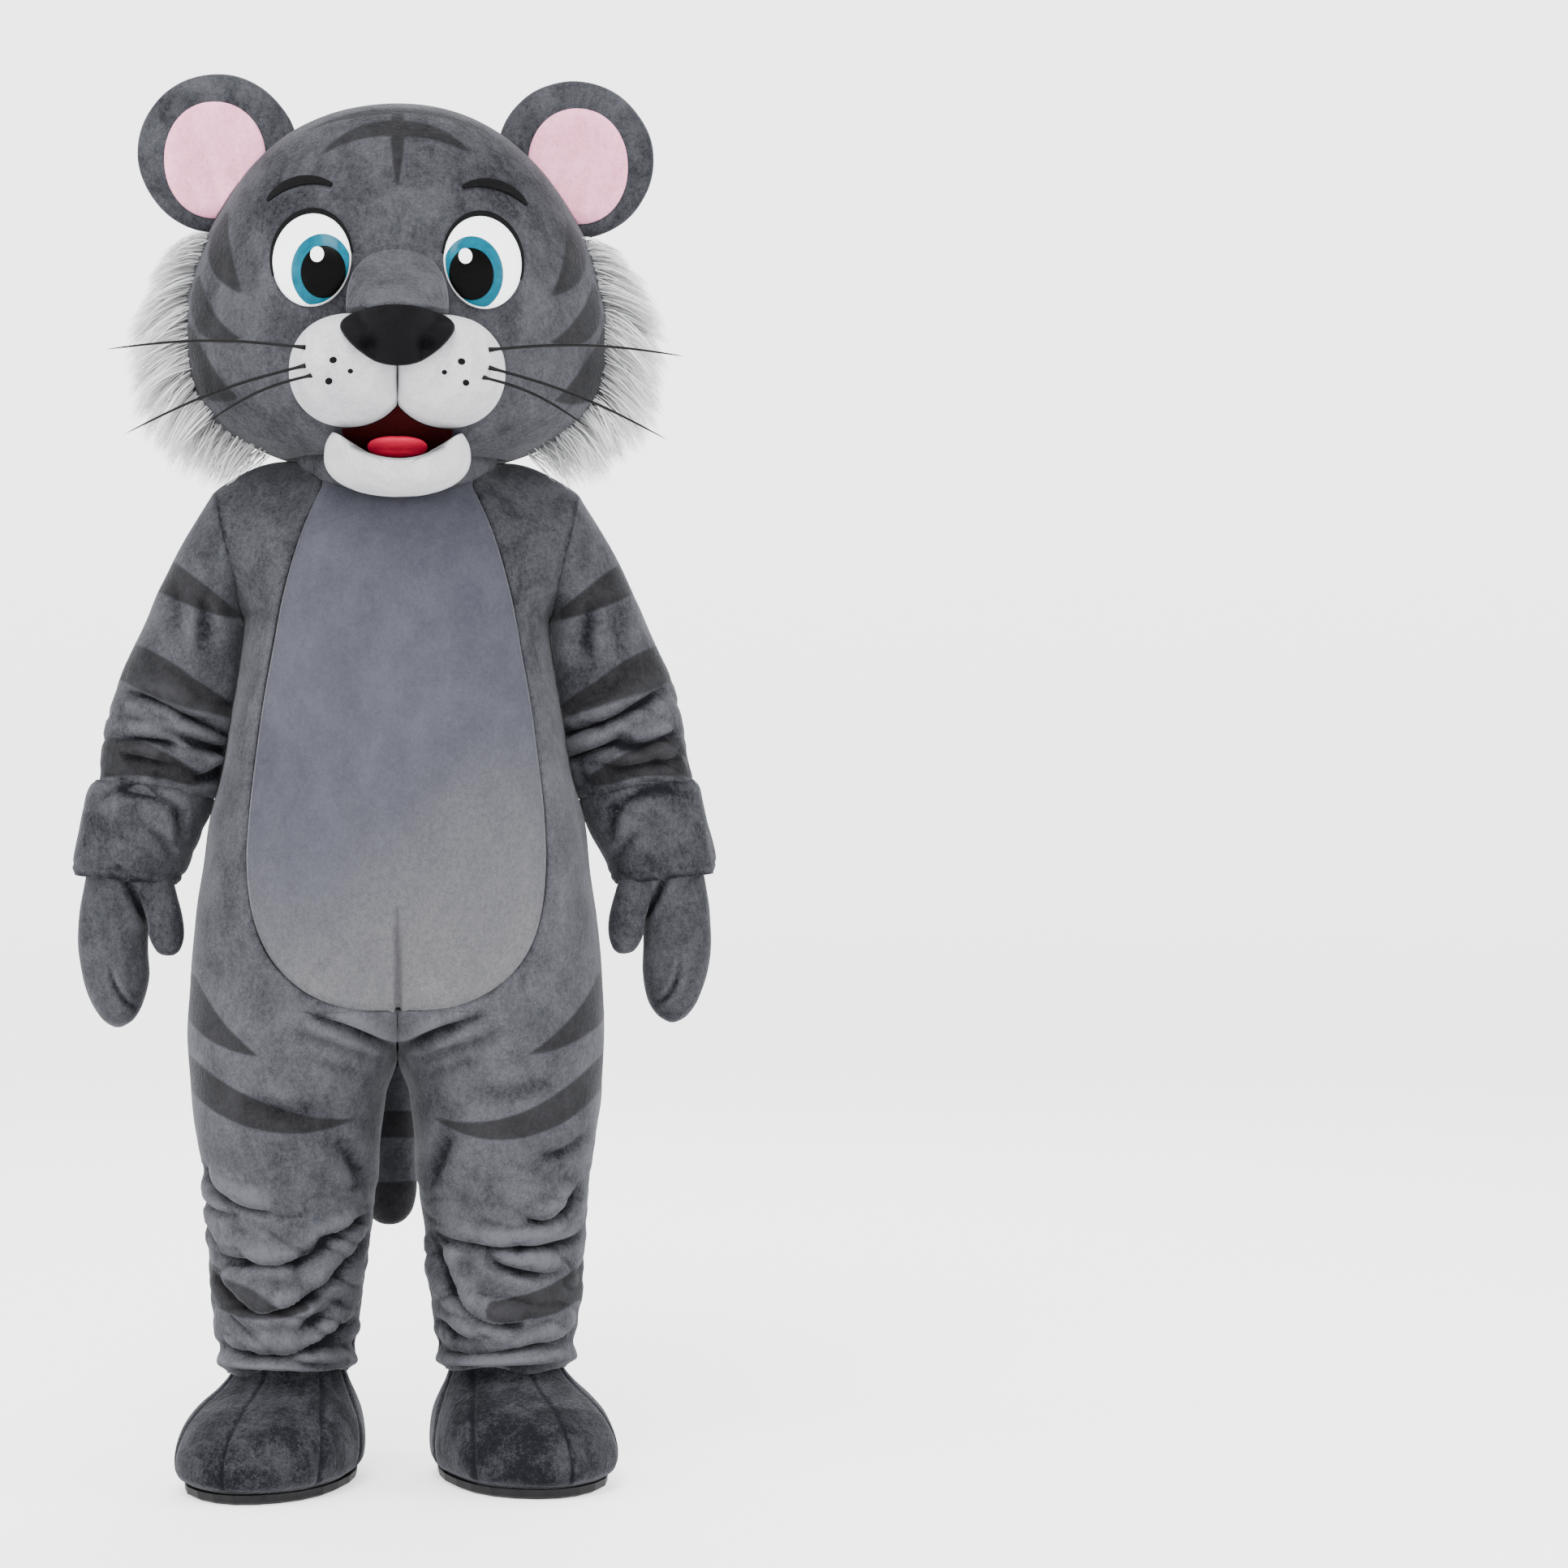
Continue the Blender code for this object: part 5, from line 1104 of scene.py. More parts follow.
def lay_tail(u, v):
    keyed = numbered(TAIL)
    station = np.interp(v, (0, 0.16, 0.30, 0.50, 0.70, 1), (0, 2.5, 5, 6, 7, 13))
    centre, ahead, behind = (np.stack([curve(keyed, column, station + step) for column in (1, 2, 3)], axis=1)
                             for step in (0, 0.05, -0.05))
    along = (ahead - behind) / np.linalg.norm(ahead - behind, axis=1)[:, None]
    up = np.cross(along, (1.0, 0, 0))
    up /= np.linalg.norm(up, axis=1)[:, None]
    radius = curve(keyed, 4, station)[:, None]
    angle = (2 * pi * u)[:, None]
    points = centre + radius * (np.array((1.0, 0, 0)) * np.cos(angle) + up * np.sin(angle))
    wide, deep = (curve(BODY, column, points[:, 2]) for column in (1, 4))
    seat = deep * np.sqrt(1 - (points[:, 0] / wide) ** 2) + 0.0006
    points[:, 1] += (seat - points[:, 1]) * unit(1 - v / 0.04)
    return points


tail = cloth("stuffed_tail", 56, 150, lay_tail)
face_away(tail, (-0.008, 0.238, 0.60))
mark_bands(tail, (
    (-60, 667, -6, 671, 50, 668, 20, 20, 20),
    (-60, 556, -6, 560, 50, 554, 18, 18, 18),
    (-60, 456, -6, 460, 50, 453, 19, 19, 19),
    (-60, 330, -10, 332, 40, 330, 46, 46, 46),
))
# painted light: the whole tail a little lighter
keep(tail, "nap_and_shade", 0.12)
ripple(tail, 0.06, 0.0025, 37)
close_up(tail)
put_on(tail, grey_plush, "grey_plush", "tail")


# ---------------------------------------------------------------- head
# A light foam shell covered in short grey plush: a face panel and two backs, seamed at the sides and down
# the middle of the back, open at the neck. Dark bands are dyed round the crown, cheeks and back.
HEAD = np.array((
    # height wide   front  back
    (1.3840, 0.1370, 0.1210, 0.1030),
    (1.3900, 0.160, 0.142, 0.130),
    (1.4070, 0.201, 0.172, 0.176),
    (1.4320, 0.245, 0.198, 0.210),
    (1.4680, 0.277, 0.220, 0.236),
    (1.5110, 0.289, 0.235, 0.249),
    (1.5630, 0.291, 0.241, 0.253),
    (1.6160, 0.2845, 0.239, 0.250),
    (1.6700, 0.268, 0.228, 0.239),
    (1.7250, 0.241, 0.208, 0.217),
    (1.7800, 0.204, 0.178, 0.184),
    (1.8250, 0.157, 0.139, 0.143),
    (1.8550, 0.106, 0.095, 0.097),
    (1.8710, 0.052, 0.047, 0.048),
    (1.8757, 0.000, 0.000, 0.000),
))
HEAD_KEYED = numbered(HEAD)
HEAD_FINE = np.linspace(0, len(HEAD) - 1, 3000)
HEAD_HEIGHTS = np.maximum.accumulate(curve(HEAD_KEYED, 1, HEAD_FINE))


def head_at(height):
    """Half width, front and back reach of the head at a height."""
    station = np.interp(height, HEAD_HEIGHTS, HEAD_FINE)
    return [curve(HEAD_KEYED, column, station) for column in (2, 3, 4)]


def face_y(x, height):
    """How far forward the face is at a place on the front view."""
    wide, front, _ = head_at(height)
    return -front * np.sqrt(unit(1 - (x / np.maximum(wide, 0.001)) ** 2))


def lay_head(first, last):
    """A panel of the head between two parts of a turn; 0 is the middle of the face."""
    def place(u, v):
        station = (len(HEAD) - 1) * (0.82 * v + 0.18 * v ** 2) ** 0.92
        wide, front, back, height = (curve(HEAD_KEYED, column, station) for column in (2, 3, 4, 1))
        angle = 2 * pi * (first + (last - first) * u)
        deep = np.where(np.cos(angle) > 0, front, back)
        return stack(wide * np.sin(angle), -deep * np.cos(angle), height)

    return place


FACE_BANDS = (
    # the arc over the crown, the forehead mark and its bar
    (-124, 1822, 0, 1850.5, 120, 1825, 1, 5.6, 1),
    (-101, 1781, -52, 1812, 0, 1819, 1, 10, 13),
    (98, 1787, 52, 1812, 0, 1819, 1, 10, 13),
    (0, 1850, 0, 1795, 0, 1736, 7, 8.5, 1),
    # three crescents down each cheek
    (-228, 1712, -236, 1650, -204, 1594, 2, 16.5, 1),
    (-266, 1628, -254, 1562, -204, 1532, 2, 15, 1),
    (-286, 1580, -266, 1498, -210, 1458, 2, 20, 1),
    (228, 1712, 238, 1648, 204, 1596, 2, 16.5, 1),
    (266, 1624, 252, 1562, 203, 1533, 2, 15, 1),
    (286, 1578, 266, 1498, 210, 1460, 2, 20, 1),
)
# each back piece is dyed on its own, so its bands are cut off clean at the back seam
CROWN_BAND = (113, 1828, 0, 1853.5, -112, 1826, 1, 4.8, 1)
BACK_LEFT_BANDS = (
    CROWN_BAND,
    (-145, 1763, -74, 1791, 6, 1810, 1, 7.2, 11),
    (-172, 1668, -86, 1711, 10, 1727, 1, 13.5, 22.6),
    (-161, 1573, -80.5, 1595, 12, 1612, 2, 16.1, 27),
    (14, 1493, -66, 1484, -127, 1485, 19, 12.7, 1),
)
BACK_RIGHT_BANDS = (
    CROWN_BAND,
    (154.5, 1761, 78, 1791, -6, 1810, 1, 7.2, 11.2),
    (181, 1664, 91, 1708, -10, 1728.5, 1, 13.5, 23),
    (163, 1565, 83, 1591, -14, 1598, 3, 20, 25.8),
)
head_rows = 104
for name, first, last, core, columns, bands in (
    ("face", -0.25, 0.25, (0, -0.001, 1.6), 124, FACE_BANDS),
    ("back_left", -0.5, -0.25, (-0.001, 0.001, 1.6), 66, BACK_LEFT_BANDS),
    ("back_right", 0.25, 0.5, (0.001, 0.001, 1.6), 66, BACK_RIGHT_BANDS),
):
    shell = cloth("head_cover_" + name, columns, head_rows, lay_head(first, last))
    face_away(shell, core)
    mark_bands(shell, bands)
    gaps = edge_gaps(shell, columns, head_rows)
    # painted shade and light: the face darker, more towards the top; the backs lighter
    shades = (-0.18, -0.32) if name == "face" else (0.12, 0.16)
    keep(shell, "nap_and_shade", np.interp(heights_of(shell), (1.60, 1.72), shades))
    ripple(shell, 0.10, 0.0020, 41)
    roll_edges(shell, gaps[:2], 0.0022, 0.0042)
    roll_edges(shell, [gaps[2]], 0.006, 0.010)
    close_up(shell)
    thicken(shell, FOAM)
    put_on(shell, grey_plush, "grey_plush", "head_" + name)


# ---------------------------------------------------------------- ears
# Two cupped round ears of grey plush, standing on the head's sides, each lined with soft pink plush.
EAR_X, EAR_Z, EAR_R, EAR_DEEP, EAR_HALF = 0.2440, 1.8080, 0.1090, 0.012, 0.017


def pad(name, centre, inside, front, back, spokes=96, rings=36):
    """A closed pad: inside(x, z) is negative within its outline, front and back give its two sides' y."""
    bpy.ops.object.select_all(action="DESELECT")
    bpy.ops.mesh.primitive_uv_sphere_add(segments=spokes, ring_count=rings, radius=1, rotation=(pi / 2, 0, 0))
    bpy.ops.object.transform_apply(location=False, rotation=True, scale=False)
    piece = bpy.context.object
    piece.name = piece.data.name = name
    spots = points_of(piece)
    angle = np.arctan2(spots[:, 2], spots[:, 0])
    share = unit(np.hypot(spots[:, 0], spots[:, 2]))

    def spoke(length):
        return centre[0] + length * np.cos(angle), centre[1] + length * np.sin(angle)

    reach, tries = 0.16, 160
    steps = np.linspace(0, reach, tries + 1)[:, None]
    first = np.argmax(inside(*spoke(steps)) > 0, axis=0)
    first = np.where(first == 0, tries, first)
    low, high = steps[first - 1, 0], steps[first, 0]
    for _ in range(20):
        middle = (low + high) / 2
        out = inside(*spoke(middle)) > 0
        low, high = np.where(out, low, middle), np.where(out, middle, high)
    x, z = spoke(share * low)
    turn = unit(0.5 + spots[:, 1] * 2.2)
    put_points(piece, stack(x, front(x, z) * (1 - turn) + back(x, z) * turn, z) - (0, 0, NECK))
    rework(piece, lambda mesh: bmesh.ops.recalc_face_normals(mesh, faces=mesh.faces))
    return piece


def oval(x, z, centre, wide, tall, square):
    """1 on the edge of a rounded oval, less inside it."""
    across, up = np.abs((x - centre[0]) / wide), np.abs((z - centre[1]) / tall)
    return (across ** square + up ** square) ** (1 / square)


def dome(x, z, centre, wide, tall, rise, square=2.4, crown=2.3):
    """Height of a domed pad over its rounded oval."""
    return rise * unit(1 - oval(x, z, centre, wide, tall, square) ** crown) ** 0.55


pink_plush = plush("pink_plush", (0.50, 0.16, 0.25), (0.86, 0.42, 0.55), pile=0.7, sheen=0.04)
for label, side in SIDES:
    centre = (side * EAR_X, EAR_Z)
    lining_at = (side * 0.2475, 1.797)

    def ear_part(x, z):
        return unit(np.hypot(x - centre[0], z - centre[1]) / EAR_R)

    def ear_front(x, z):
        dish = 0.014 * unit(1 - (ear_part(x, z) / 0.72) ** 2)
        return EAR_DEEP - EAR_HALF * np.sqrt(1 - ear_part(x, z) ** 4) + dish

    def ear_back(x, z):
        return EAR_DEEP + 0.001 + EAR_HALF * np.sqrt(1 - ear_part(x, z) ** 3)

    def ear_outline(x, z):
        return np.maximum(np.hypot(x - centre[0], z - centre[1]) - EAR_R, head_at(z)[0] - 0.004 - np.abs(x))

    def lining_oval(x, z):
        return oval(x, z, lining_at, 0.069, 0.080, 2.1)

    ear = pad("ear_shell_" + label, centre, ear_outline, ear_front, ear_back)
    mark_bands(ear)
    # painted shade and light: the ear's front darker, its back lighter
    keep(ear, "nap_and_shade", np.interp(points_of(ear)[:, 1], (EAR_DEEP, EAR_DEEP + 0.012), (-0.15, 0.45)))
    ripple(ear, 0.05, 0.0016, 43)
    put_on(ear, grey_plush, "grey_plush", "ear_" + label)

    def lining_front(x, z):
        crease = 0.0
        for shift, width, depth in ((-0.020, 0.006, 0.0030), (0.014, 0.007, 0.0025)):
            line = (x - centre[0]) * side - shift - 0.25 * (z - centre[1])
            lower = unit((centre[1] + 0.02 - z) / 0.05)
            crease = crease + depth * bell(line, width) * lower
        edge = unit(lining_oval(x, z))
        return ear_front(x, z) - 0.0005 - 0.0052 * np.sqrt(1 - edge ** 6) + crease

    lining = pad("ear_pink_" + label, lining_at,
                 lambda x, z: np.maximum((lining_oval(x, z) - 1) * 0.07, head_at(z)[0] + 0.001 - np.abs(x)),
                 lining_front, lambda x, z: ear_front(x, z) - 0.0004, 72, 30)
    put_on(lining, pink_plush, "pink_plush", "ear_lining_" + label)


# ---------------------------------------------------------------- snout
# Padded white muzzle halves with a sewn middle line, under a grey bridge that runs down from between
# the eyes.
white_plush = plush("white_plush", (0.30, 0.30, 0.315), (0.58, 0.58, 0.59), pile=0.8, sheen=0.08)


MUZZLE_X, MUZZLE_Z, SNOUT_RISE = 0.064, 1.488, 0.112
REST = 0.0005     # how far a pad's back stays off the face


def muzzle_oval(x, z, side):
    return oval(x, z, (side * MUZZLE_X, MUZZLE_Z), 0.078, 0.071, 2.12)


def off_muzzle(x, z, edge=1.0):
    """Negative outside both halves of the muzzle."""
    return np.maximum(edge - muzzle_oval(x, z, LEFT), edge - muzzle_oval(x, z, RIGHT))


def on_face(x, z):
    return face_y(x, z) - REST


def muzzle_rise(x, z):
    """How far the muzzle stands off the face: two domes that meet in a sewn groove."""
    both = [SNOUT_RISE * unit(1 - muzzle_oval(x, z, side) ** 2.3) ** 0.55 for side in (LEFT, RIGHT)]
    return np.maximum(*both) - 0.006 * bell(x, 0.0035)


def muzzle_front(x, z):
    return face_y(x, z) - 0.006 - muzzle_rise(x, z)


def bridge_rise(x, z):
    ramp = unit((1.645 - z) / 0.085)
    return SNOUT_RISE * ramp ** 1.3 * np.sqrt(unit(1 - (x / 0.0704) ** 2))


for label, side in SIDES:
    muzzle = pad("muzzle_pad_" + label, (side * MUZZLE_X, MUZZLE_Z),
                 lambda x, z: np.maximum(muzzle_oval(x, z, side) - 1, -side * x * 20),
                 muzzle_front, on_face, 112, 48)
    # painted shade: the muzzle pads darker
    keep(muzzle, "nap_and_shade", -0.30)
    ripple(muzzle, 0.05, 0.0012, 47)
    put_on(muzzle, white_plush, "white_plush", "muzzle_" + label)

bridge = pad("bridge_pad", (0, 1.575),
             lambda x, z: np.maximum(oval(x, z, (0, 1.565), 0.067, 0.080, 2.4) - 1, off_muzzle(x, z)),
             lambda x, z: face_y(x, z) - 0.0012 - bridge_rise(x, z), on_face, 96, 40)
mark_bands(bridge)
put_on(bridge, grey_plush, "grey_plush", "snout_bridge")


# ---------------------------------------------------------------- nose
# A smooth black cloth nose, a rounded triangle with two shallow nostrils, stuffed and sewn on the
# snout's end.
nose_cover = coat("nose_cover", (0.0016, 0.0016, 0.0019), (0.0042, 0.0042, 0.0048), 0.62, 0.035,
                  (0.4, 0.0006), (30, 4), (900, 4))
NOSE_AT = (0, 1.518)


def nose_outline(x, z):
    taper = 1 + 0.34 * (z - NOSE_AT[1]) / 0.036
    return oval(x / taper, z, NOSE_AT, 0.068, 0.038, 2.3) - 1


def nose_base(x, z):
    under = np.maximum(muzzle_rise(x, z), bridge_rise(x, z))
    return face_y(x, z) - 0.0066 - np.maximum(under, 0.080)


def nose_front(x, z):
    rise = dome(x, z, NOSE_AT, 0.0850, 0.0430, 0.026)
    dent = 0.013 * np.exp(-((np.abs(x) - 0.037) / 0.010) ** 2 - ((z - 1.506) / 0.0080) ** 2)
    return nose_base(x, z) - 0.004 - rise + dent


nose = pad("nose_pad", NOSE_AT, nose_outline, nose_front, nose_base, 112, 48)
put_on(nose, nose_cover, "nose_cover", "nose")


# ---------------------------------------------------------------- mouth
# The open mouth: dark red cloth lining on the head, a plump tongue, and a white lower jaw with a thick lip.
def felt(name, deep, light, roughness=0.85):
    """Plain felt or brushed knit: matted fibres with slight mottling."""
    return coat(name, deep, light, roughness, 0.03, (0.5, 0.0012), (25, 4), (400, 5), 0.5)


def mouth_oval(x, z, gap=0.0):
    return np.hypot(x / (0.070 + gap), (z - 1.420) / (0.044 + gap)) - 1


def jaw_back(x, z, gap):
    """A place so far before the face, for the backs of mouth and jaw, which hang clear of it low down."""
    return face_y(x, np.maximum(z, 1.388)) - gap


MUZZLE_EDGE = 1.01     # mouth and jaw stop just short of the muzzle
TONGUE = ((0, 1.3935), 0.040, 0.0125)
JAW = ((0, 1.383), 0.098, 0.055)
mouth_cloth = felt("mouth_cloth", (0.010, 0.001, 0.001), (0.030, 0.002, 0.003))
lining = pad("mouth_backing", (0, 1.402),
             lambda x, z: np.maximum(mouth_oval(x, z, 0.004), off_muzzle(x, z, MUZZLE_EDGE)),
             lambda x, z: jaw_back(x, z, 0.004), lambda x, z: jaw_back(x, z, 0.0006), 72, 30)
put_on(lining, mouth_cloth, "mouth_cloth", "mouth_lining")

tongue_cloth = felt("tongue_cloth", (0.60, 0.010, 0.045), (0.80, 0.026, 0.080), 0.8)


def tongue_front(x, z):
    return jaw_back(x, z, 0.0085) - dome(x, z, *TONGUE, 0.024) + 0.0025 * bell(x, 0.006)


tongue = pad("tongue_pad", TONGUE[0],
             lambda x, z: np.maximum(oval(x, z, *TONGUE, 2.2) - 1, mouth_oval(x, z, -0.0045)),
             tongue_front, lambda x, z: jaw_back(x, z, 0.0082), 72, 30)
put_on(tongue, tongue_cloth, "tongue_cloth", "tongue")

jaw = pad("jaw_pad", (0, 1.353),
          lambda x, z: np.maximum.reduce((oval(x, z, *JAW, 2.12) - 1, -mouth_oval(x, z, 0.0003),
                                          off_muzzle(x, z, MUZZLE_EDGE))),
          lambda x, z: jaw_back(x, z, 0.010) - dome(x, z, *JAW, 0.092, 2.12, 4)
          * unit(mouth_oval(x, z) / 0.16) ** 0.3,
          lambda x, z: jaw_back(x, z, REST), 140, 48)
ripple(jaw, 0.05, 0.0010, 53)
put_on(jaw, white_plush, "white_plush", "jaw")


# ---------------------------------------------------------------- eyes and brows
# Domed oval eyes of white plastic with a printed blue-green iris and a black pupil, edged above with black
# felt, and a tapered felt brow over each.
def enamel(name, deep, light, scale, roughness=0.18, gloss=0.08):
    """Smooth painted plastic with faint cloudiness."""
    return coat(name, deep, light, roughness, gloss, (0.1, 0.0004), (scale, 3))


eye_white = enamel("eye_white", (0.86, 0.88, 0.90), (0.94, 0.95, 0.96), 30, 0.3)
eye_iris = enamel("eye_iris", (0.0, 0.036, 0.060), (0.0, 0.112, 0.165), 90)
eye_black = enamel("eye_black", (0.001, 0.001, 0.001), (0.002, 0.002, 0.002), 60, 0.3, 0.03)
black_felt = felt("black_felt", (0.002, 0.002, 0.002), (0.007, 0.007, 0.0075))


EYE_X, EYE_Z, EYE_WIDE, EYE_TALL = 0.112, 1.633, 0.052, 0.063
PUPIL_X, PRINT = 0.0965, 0.0006
for label, side in SIDES:
    centre = (side * EYE_X, EYE_Z)

    def eye_surface(x, z, lift=0.0):
        """The domed eye's outer side, or a printed layer that lies over it."""
        return face_y(x, z) - 0.0035 - dome(x, z, centre, EYE_WIDE, EYE_TALL, 0.014, 2) - lift

    eye = pad("eye_ball_" + label, centre, lambda x, z: oval(x, z, centre, EYE_WIDE, EYE_TALL, 2) - 1,
              eye_surface, on_face, 80, 32)
    put_on(eye, eye_white, "eye_plastic", "eye_" + label)
    for name, spot, wide, tall, lift, material in (
        ("iris_", (side * 0.0985, 1.616), 0.0400, 0.0490, 0.0008, eye_iris),
        ("pupil_", (side * PUPIL_X, 1.614), 0.0295, 0.0345, 0.0014, eye_black),
        ("glint_", (side * PUPIL_X - 0.008, 1.637), 0.0090, 0.0105, 0.0020, eye_white),
    ):
        disc = pad("eye_" + name + label, spot,
                   lambda x, z: np.maximum(oval(x, z, spot, wide, tall, 2) - 1,
                                           oval(x, z, centre, EYE_WIDE - 0.002, EYE_TALL - 0.002, 2) - 1),
                   lambda x, z: eye_surface(x, z, lift),
                   lambda x, z: eye_surface(x, z, lift - PRINT), 56, 18)
        put_on(disc, material, "eye_plastic")

    def lay_rim(u, v):
        turn = np.radians(8 + 190 * u)
        thick = 0.0034 + 0.0042 * np.sin(pi * u) ** 1.5
        reach = 1 + v * thick / 0.055 - 0.012
        x = centre[0] - side * EYE_WIDE * reach * np.cos(turn)
        z = centre[1] + EYE_TALL * reach * np.sin(turn)
        return stack(x, face_y(x, z) - 0.0040 - 0.0015 * np.sin(pi * v), z)

    rim = cloth("eye_rim_" + label, 60, 6, lay_rim)
    face_away(rim, (centre[0], 0, centre[1]))
    thicken(rim, 0.0035)
    put_on(rim, black_felt, "black_felt")

    def lay_brow(u, v):
        turn = np.radians(56 + 92 * u)
        half = 0.0068 * np.maximum(0.12, np.sin(pi * (0.10 + 0.86 * u ** 1.15))) ** 0.7
        radius = 0.055 + half * (2 * v - 1)
        x, z = side * (0.121 - radius * np.cos(turn) * 1.10), 1.690 + radius * np.sin(turn)
        return stack(x, face_y(x, z) - 0.0035 - 0.0008 * np.sin(pi * v), z)

    brow = cloth("brow_felt_" + label, 48, 8, lay_brow)
    face_away(brow, (side * 0.11, 0, 1.72))
    thicken(brow, 0.003)
    put_on(brow, black_felt, "black_felt", "brow_" + label)


# ---------------------------------------------------------------- whiskers and whisker spots
# Three stiff black nylon whiskers a side, set into the muzzle, with small black stitched spots among them.
whisker_nylon = enamel("whisker_nylon", (0.002, 0.002, 0.002), (0.007, 0.007, 0.007), 200, 0.4)


WHISKERS = (
    # root x, z    tip x, y, z
    (0.1180, 1.5080, 0.3780, -0.215, 1.5120),
    (0.1180, 1.4850, 0.3550, -0.210, 1.4020),
    (0.1100, 1.4720, 0.2500, -0.250, 1.4120),
)
WHISKER_SPOTS = ((0.082, 1.488, 0.0042), (0.088, 1.463, 0.0040), (0.060, 1.474, 0.0030))


def close_ends(mesh):
    bmesh.ops.holes_fill(mesh, edges=mesh.edges, sides=12)
    bmesh.ops.recalc_face_normals(mesh, faces=mesh.faces)


for label, side in SIDES:
    for number, (root_x, root_z, tip_x, tip_y, tip_z) in enumerate(WHISKERS, start=1):
        root = np.array((side * root_x, float(muzzle_front(side * root_x, np.array(root_z))), root_z))
        tip = np.array((side * tip_x, tip_y, tip_z))
        run = (tip - root) / np.linalg.norm(tip - root)
        up = np.array((0, 0, 1.0)) - run * run[2]
        up /= np.linalg.norm(up)
        aside = np.cross(run, up)

        def lay_whisker(u, v):
            part = v[:, None]
            centre = root + (tip - root) * part + np.array((0, 0, 0.010)) * np.sin(pi * part)
            thick = np.where(part < 0.06, 1.7 - 12 * part, 1)
            radius = 0.0020 * np.sqrt(np.clip(1 - part ** 3.5, 0.004, 1)) * thick
            angle = (2 * pi * u)[:, None]
            return centre + radius * (up * np.cos(angle) + aside * np.sin(angle))

        whisker = cloth(f"whisker_nylon_{label}_{number}", 8, 40, lay_whisker)
        face_away(whisker, tuple((root + tip) / 2))
        close_up(whisker, 0.00012)
        rework(whisker, close_ends)
        put_on(whisker, whisker_nylon, "whisker_nylon", f"whisker_{label}_{number}")
    for number, (spot_x, spot_z, size) in enumerate(WHISKER_SPOTS, start=1):
        spot = (side * spot_x, spot_z)

        def spot_oval(x, z):
            return oval(x, z, spot, size * 1.2, size, 2)

        dot = pad(f"whisker_spot_{label}_{number}", spot, lambda x, z: spot_oval(x, z) - 1,
                  lambda x, z: muzzle_front(x, z) - 0.0014 * np.sqrt(unit(1 - spot_oval(x, z) ** 2)),
                  lambda x, z: muzzle_front(x, z) + 0.0008, 20, 8)
        put_on(dot, black_felt, "black_felt")


# ---------------------------------------------------------------- cheek ruffs
# Long soft white fur down each side of the head, in uneven locks that lie outwards and down. Each strand is
# painted darker towards its root as shade, with a random tone per strand.
fur, fur_tree, fur_shader = blank("white_fur", 0.7, 0.2)
fur_tone_and_root_shade = wire(fur_tree, "Attribute", "Fac", {}, attribute_name="tone")
fur_colour = blend(fur_tree, fur_tone_and_root_shade, (0.16, 0.16, 0.168), (0.66, 0.66, 0.66))
fur_tree.links.new(fur_colour, fur_shader["Base Color"])

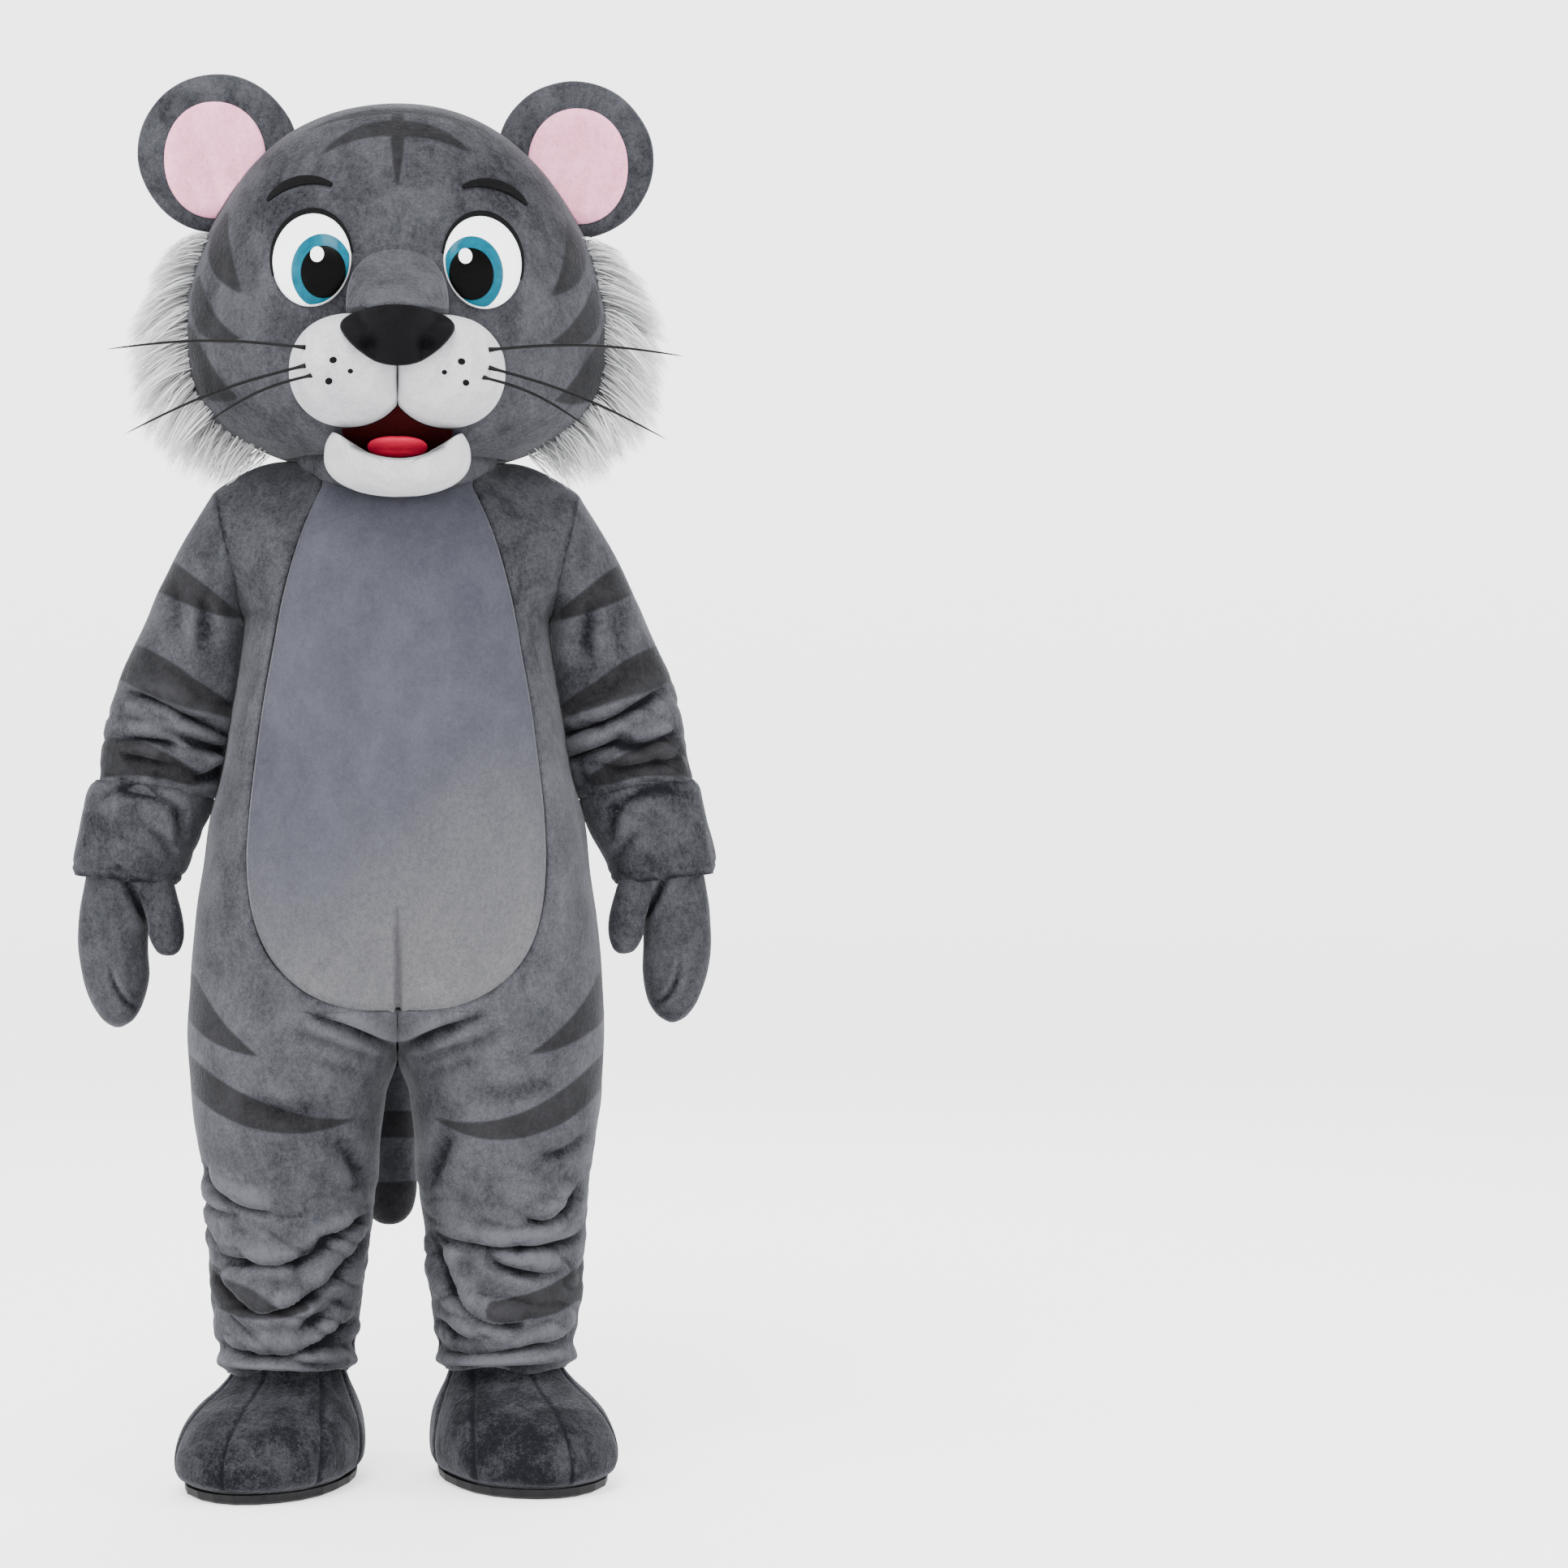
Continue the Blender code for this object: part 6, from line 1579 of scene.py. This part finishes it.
count, joints, lock_count = 5200, 6, 190
RUFF_LOW, RUFF_HIGH = 1.398, 1.690
for label, side in SIDES:
    dice = np.random.default_rng(71 if side == LEFT else 72)
    lock_z = dice.uniform(1.405, 1.685, lock_count)
    lock_y = dice.uniform(-0.060, 0.036, lock_count)
    lock_lean = dice.normal(0, 0.22, lock_count)
    lock_out = dice.normal(0, 0.20, lock_count)
    lock_length = dice.uniform(0.80, 1.22, lock_count)
    lock = dice.integers(0, lock_count, count)
    height = np.clip(lock_z[lock] + dice.normal(0, 0.0075, count), RUFF_LOW, RUFF_HIGH)
    back = np.clip(lock_y[lock] + dice.normal(0, 0.0055, count), -0.066, 0.042)
    wide, front, deep = head_at(height)
    reach = np.where(back < 0, front, deep)
    root = stack(side * (wide * np.sqrt(1 - (back / reach) ** 2) + 0.0006), back, height)
    down = np.interp(height, (1.40, 1.46, 1.55, 1.64, RUFF_HIGH), (-1.30, -0.85, -0.42, -0.10, 0.25))
    run = stack(side * (1.0 + lock_out[lock] + dice.normal(0, 0.05, count)),
                lock_lean[lock] * 0.8 + dice.normal(0, 0.08, count) + 0.9 * back / 0.06 * 0.18,
                down + lock_out[lock] * 0.35 + dice.normal(0, 0.07, count))
    run /= np.linalg.norm(run, axis=1)[:, None]
    length = np.interp(height, (RUFF_LOW, 1.44, 1.50, 1.60, 1.66, RUFF_HIGH),
                       (0.050, 0.062, 0.074, 0.084, 0.068, 0.036))
    length = length * lock_length[lock] * dice.uniform(0.72, 1.05, count)
    flow = dice.normal(0, 1, (count, 3))
    width = np.cross(run, flow)
    width /= np.linalg.norm(width, axis=1)[:, None]
    part = np.linspace(0, 1, joints)[None, :, None]
    droop = np.array((0, 0, -1.0)) * (part ** 2) * (length * 0.34)[:, None, None]
    swing = dice.normal(0, 0.0035, count)[:, None, None]
    wave = np.cross(run, width)[:, None, :] * (np.sin(part * pi * 1.3) * swing)
    tip = root + run * length[:, None]
    gather = np.stack([np.bincount(lock, tip[:, axis], lock_count) for axis in range(3)], axis=1)
    gather /= np.maximum(np.bincount(lock, minlength=lock_count), 1)[:, None]
    clump = (gather[lock] - tip)[:, None, :] * (0.62 * part ** 1.4)
    line = root[:, None, :] + run[:, None, :] * part * length[:, None, None] + droop + wave + clump
    half = (0.00080 * dice.uniform(0.7, 1.2, count))[:, None, None] * (1 - part ** 1.6) + 0.00006
    edges = np.stack((line - width[:, None, :] * half, line + width[:, None, :] * half), axis=2)
    points = edges.reshape(-1, 3) - (0, 0, NECK)
    base = (np.arange(count) * joints * 2)[:, None] + (np.arange(joints - 1) * 2)[None, :]
    faces = np.stack((base, base + 1, base + 3, base + 2), axis=-1).reshape(-1, 4)
    mesh = bpy.data.meshes.new("ruff_fur_" + label)
    mesh.from_pydata(points.tolist(), [], faces.tolist())
    ruff = bpy.data.objects.new("ruff_fur_" + label, mesh)
    bpy.context.collection.objects.link(ruff)
    # painted shade: each strand darker towards its root; a random tone per strand
    shade = unit(0.18 + 0.95 * part[..., 0] ** 0.7 + dice.normal(0, 0.13, count)[:, None])
    keep(ruff, "tone", np.repeat(shade, 2, axis=1).ravel())
    put_on(ruff, fur, "white_fur", "ruff_" + label)
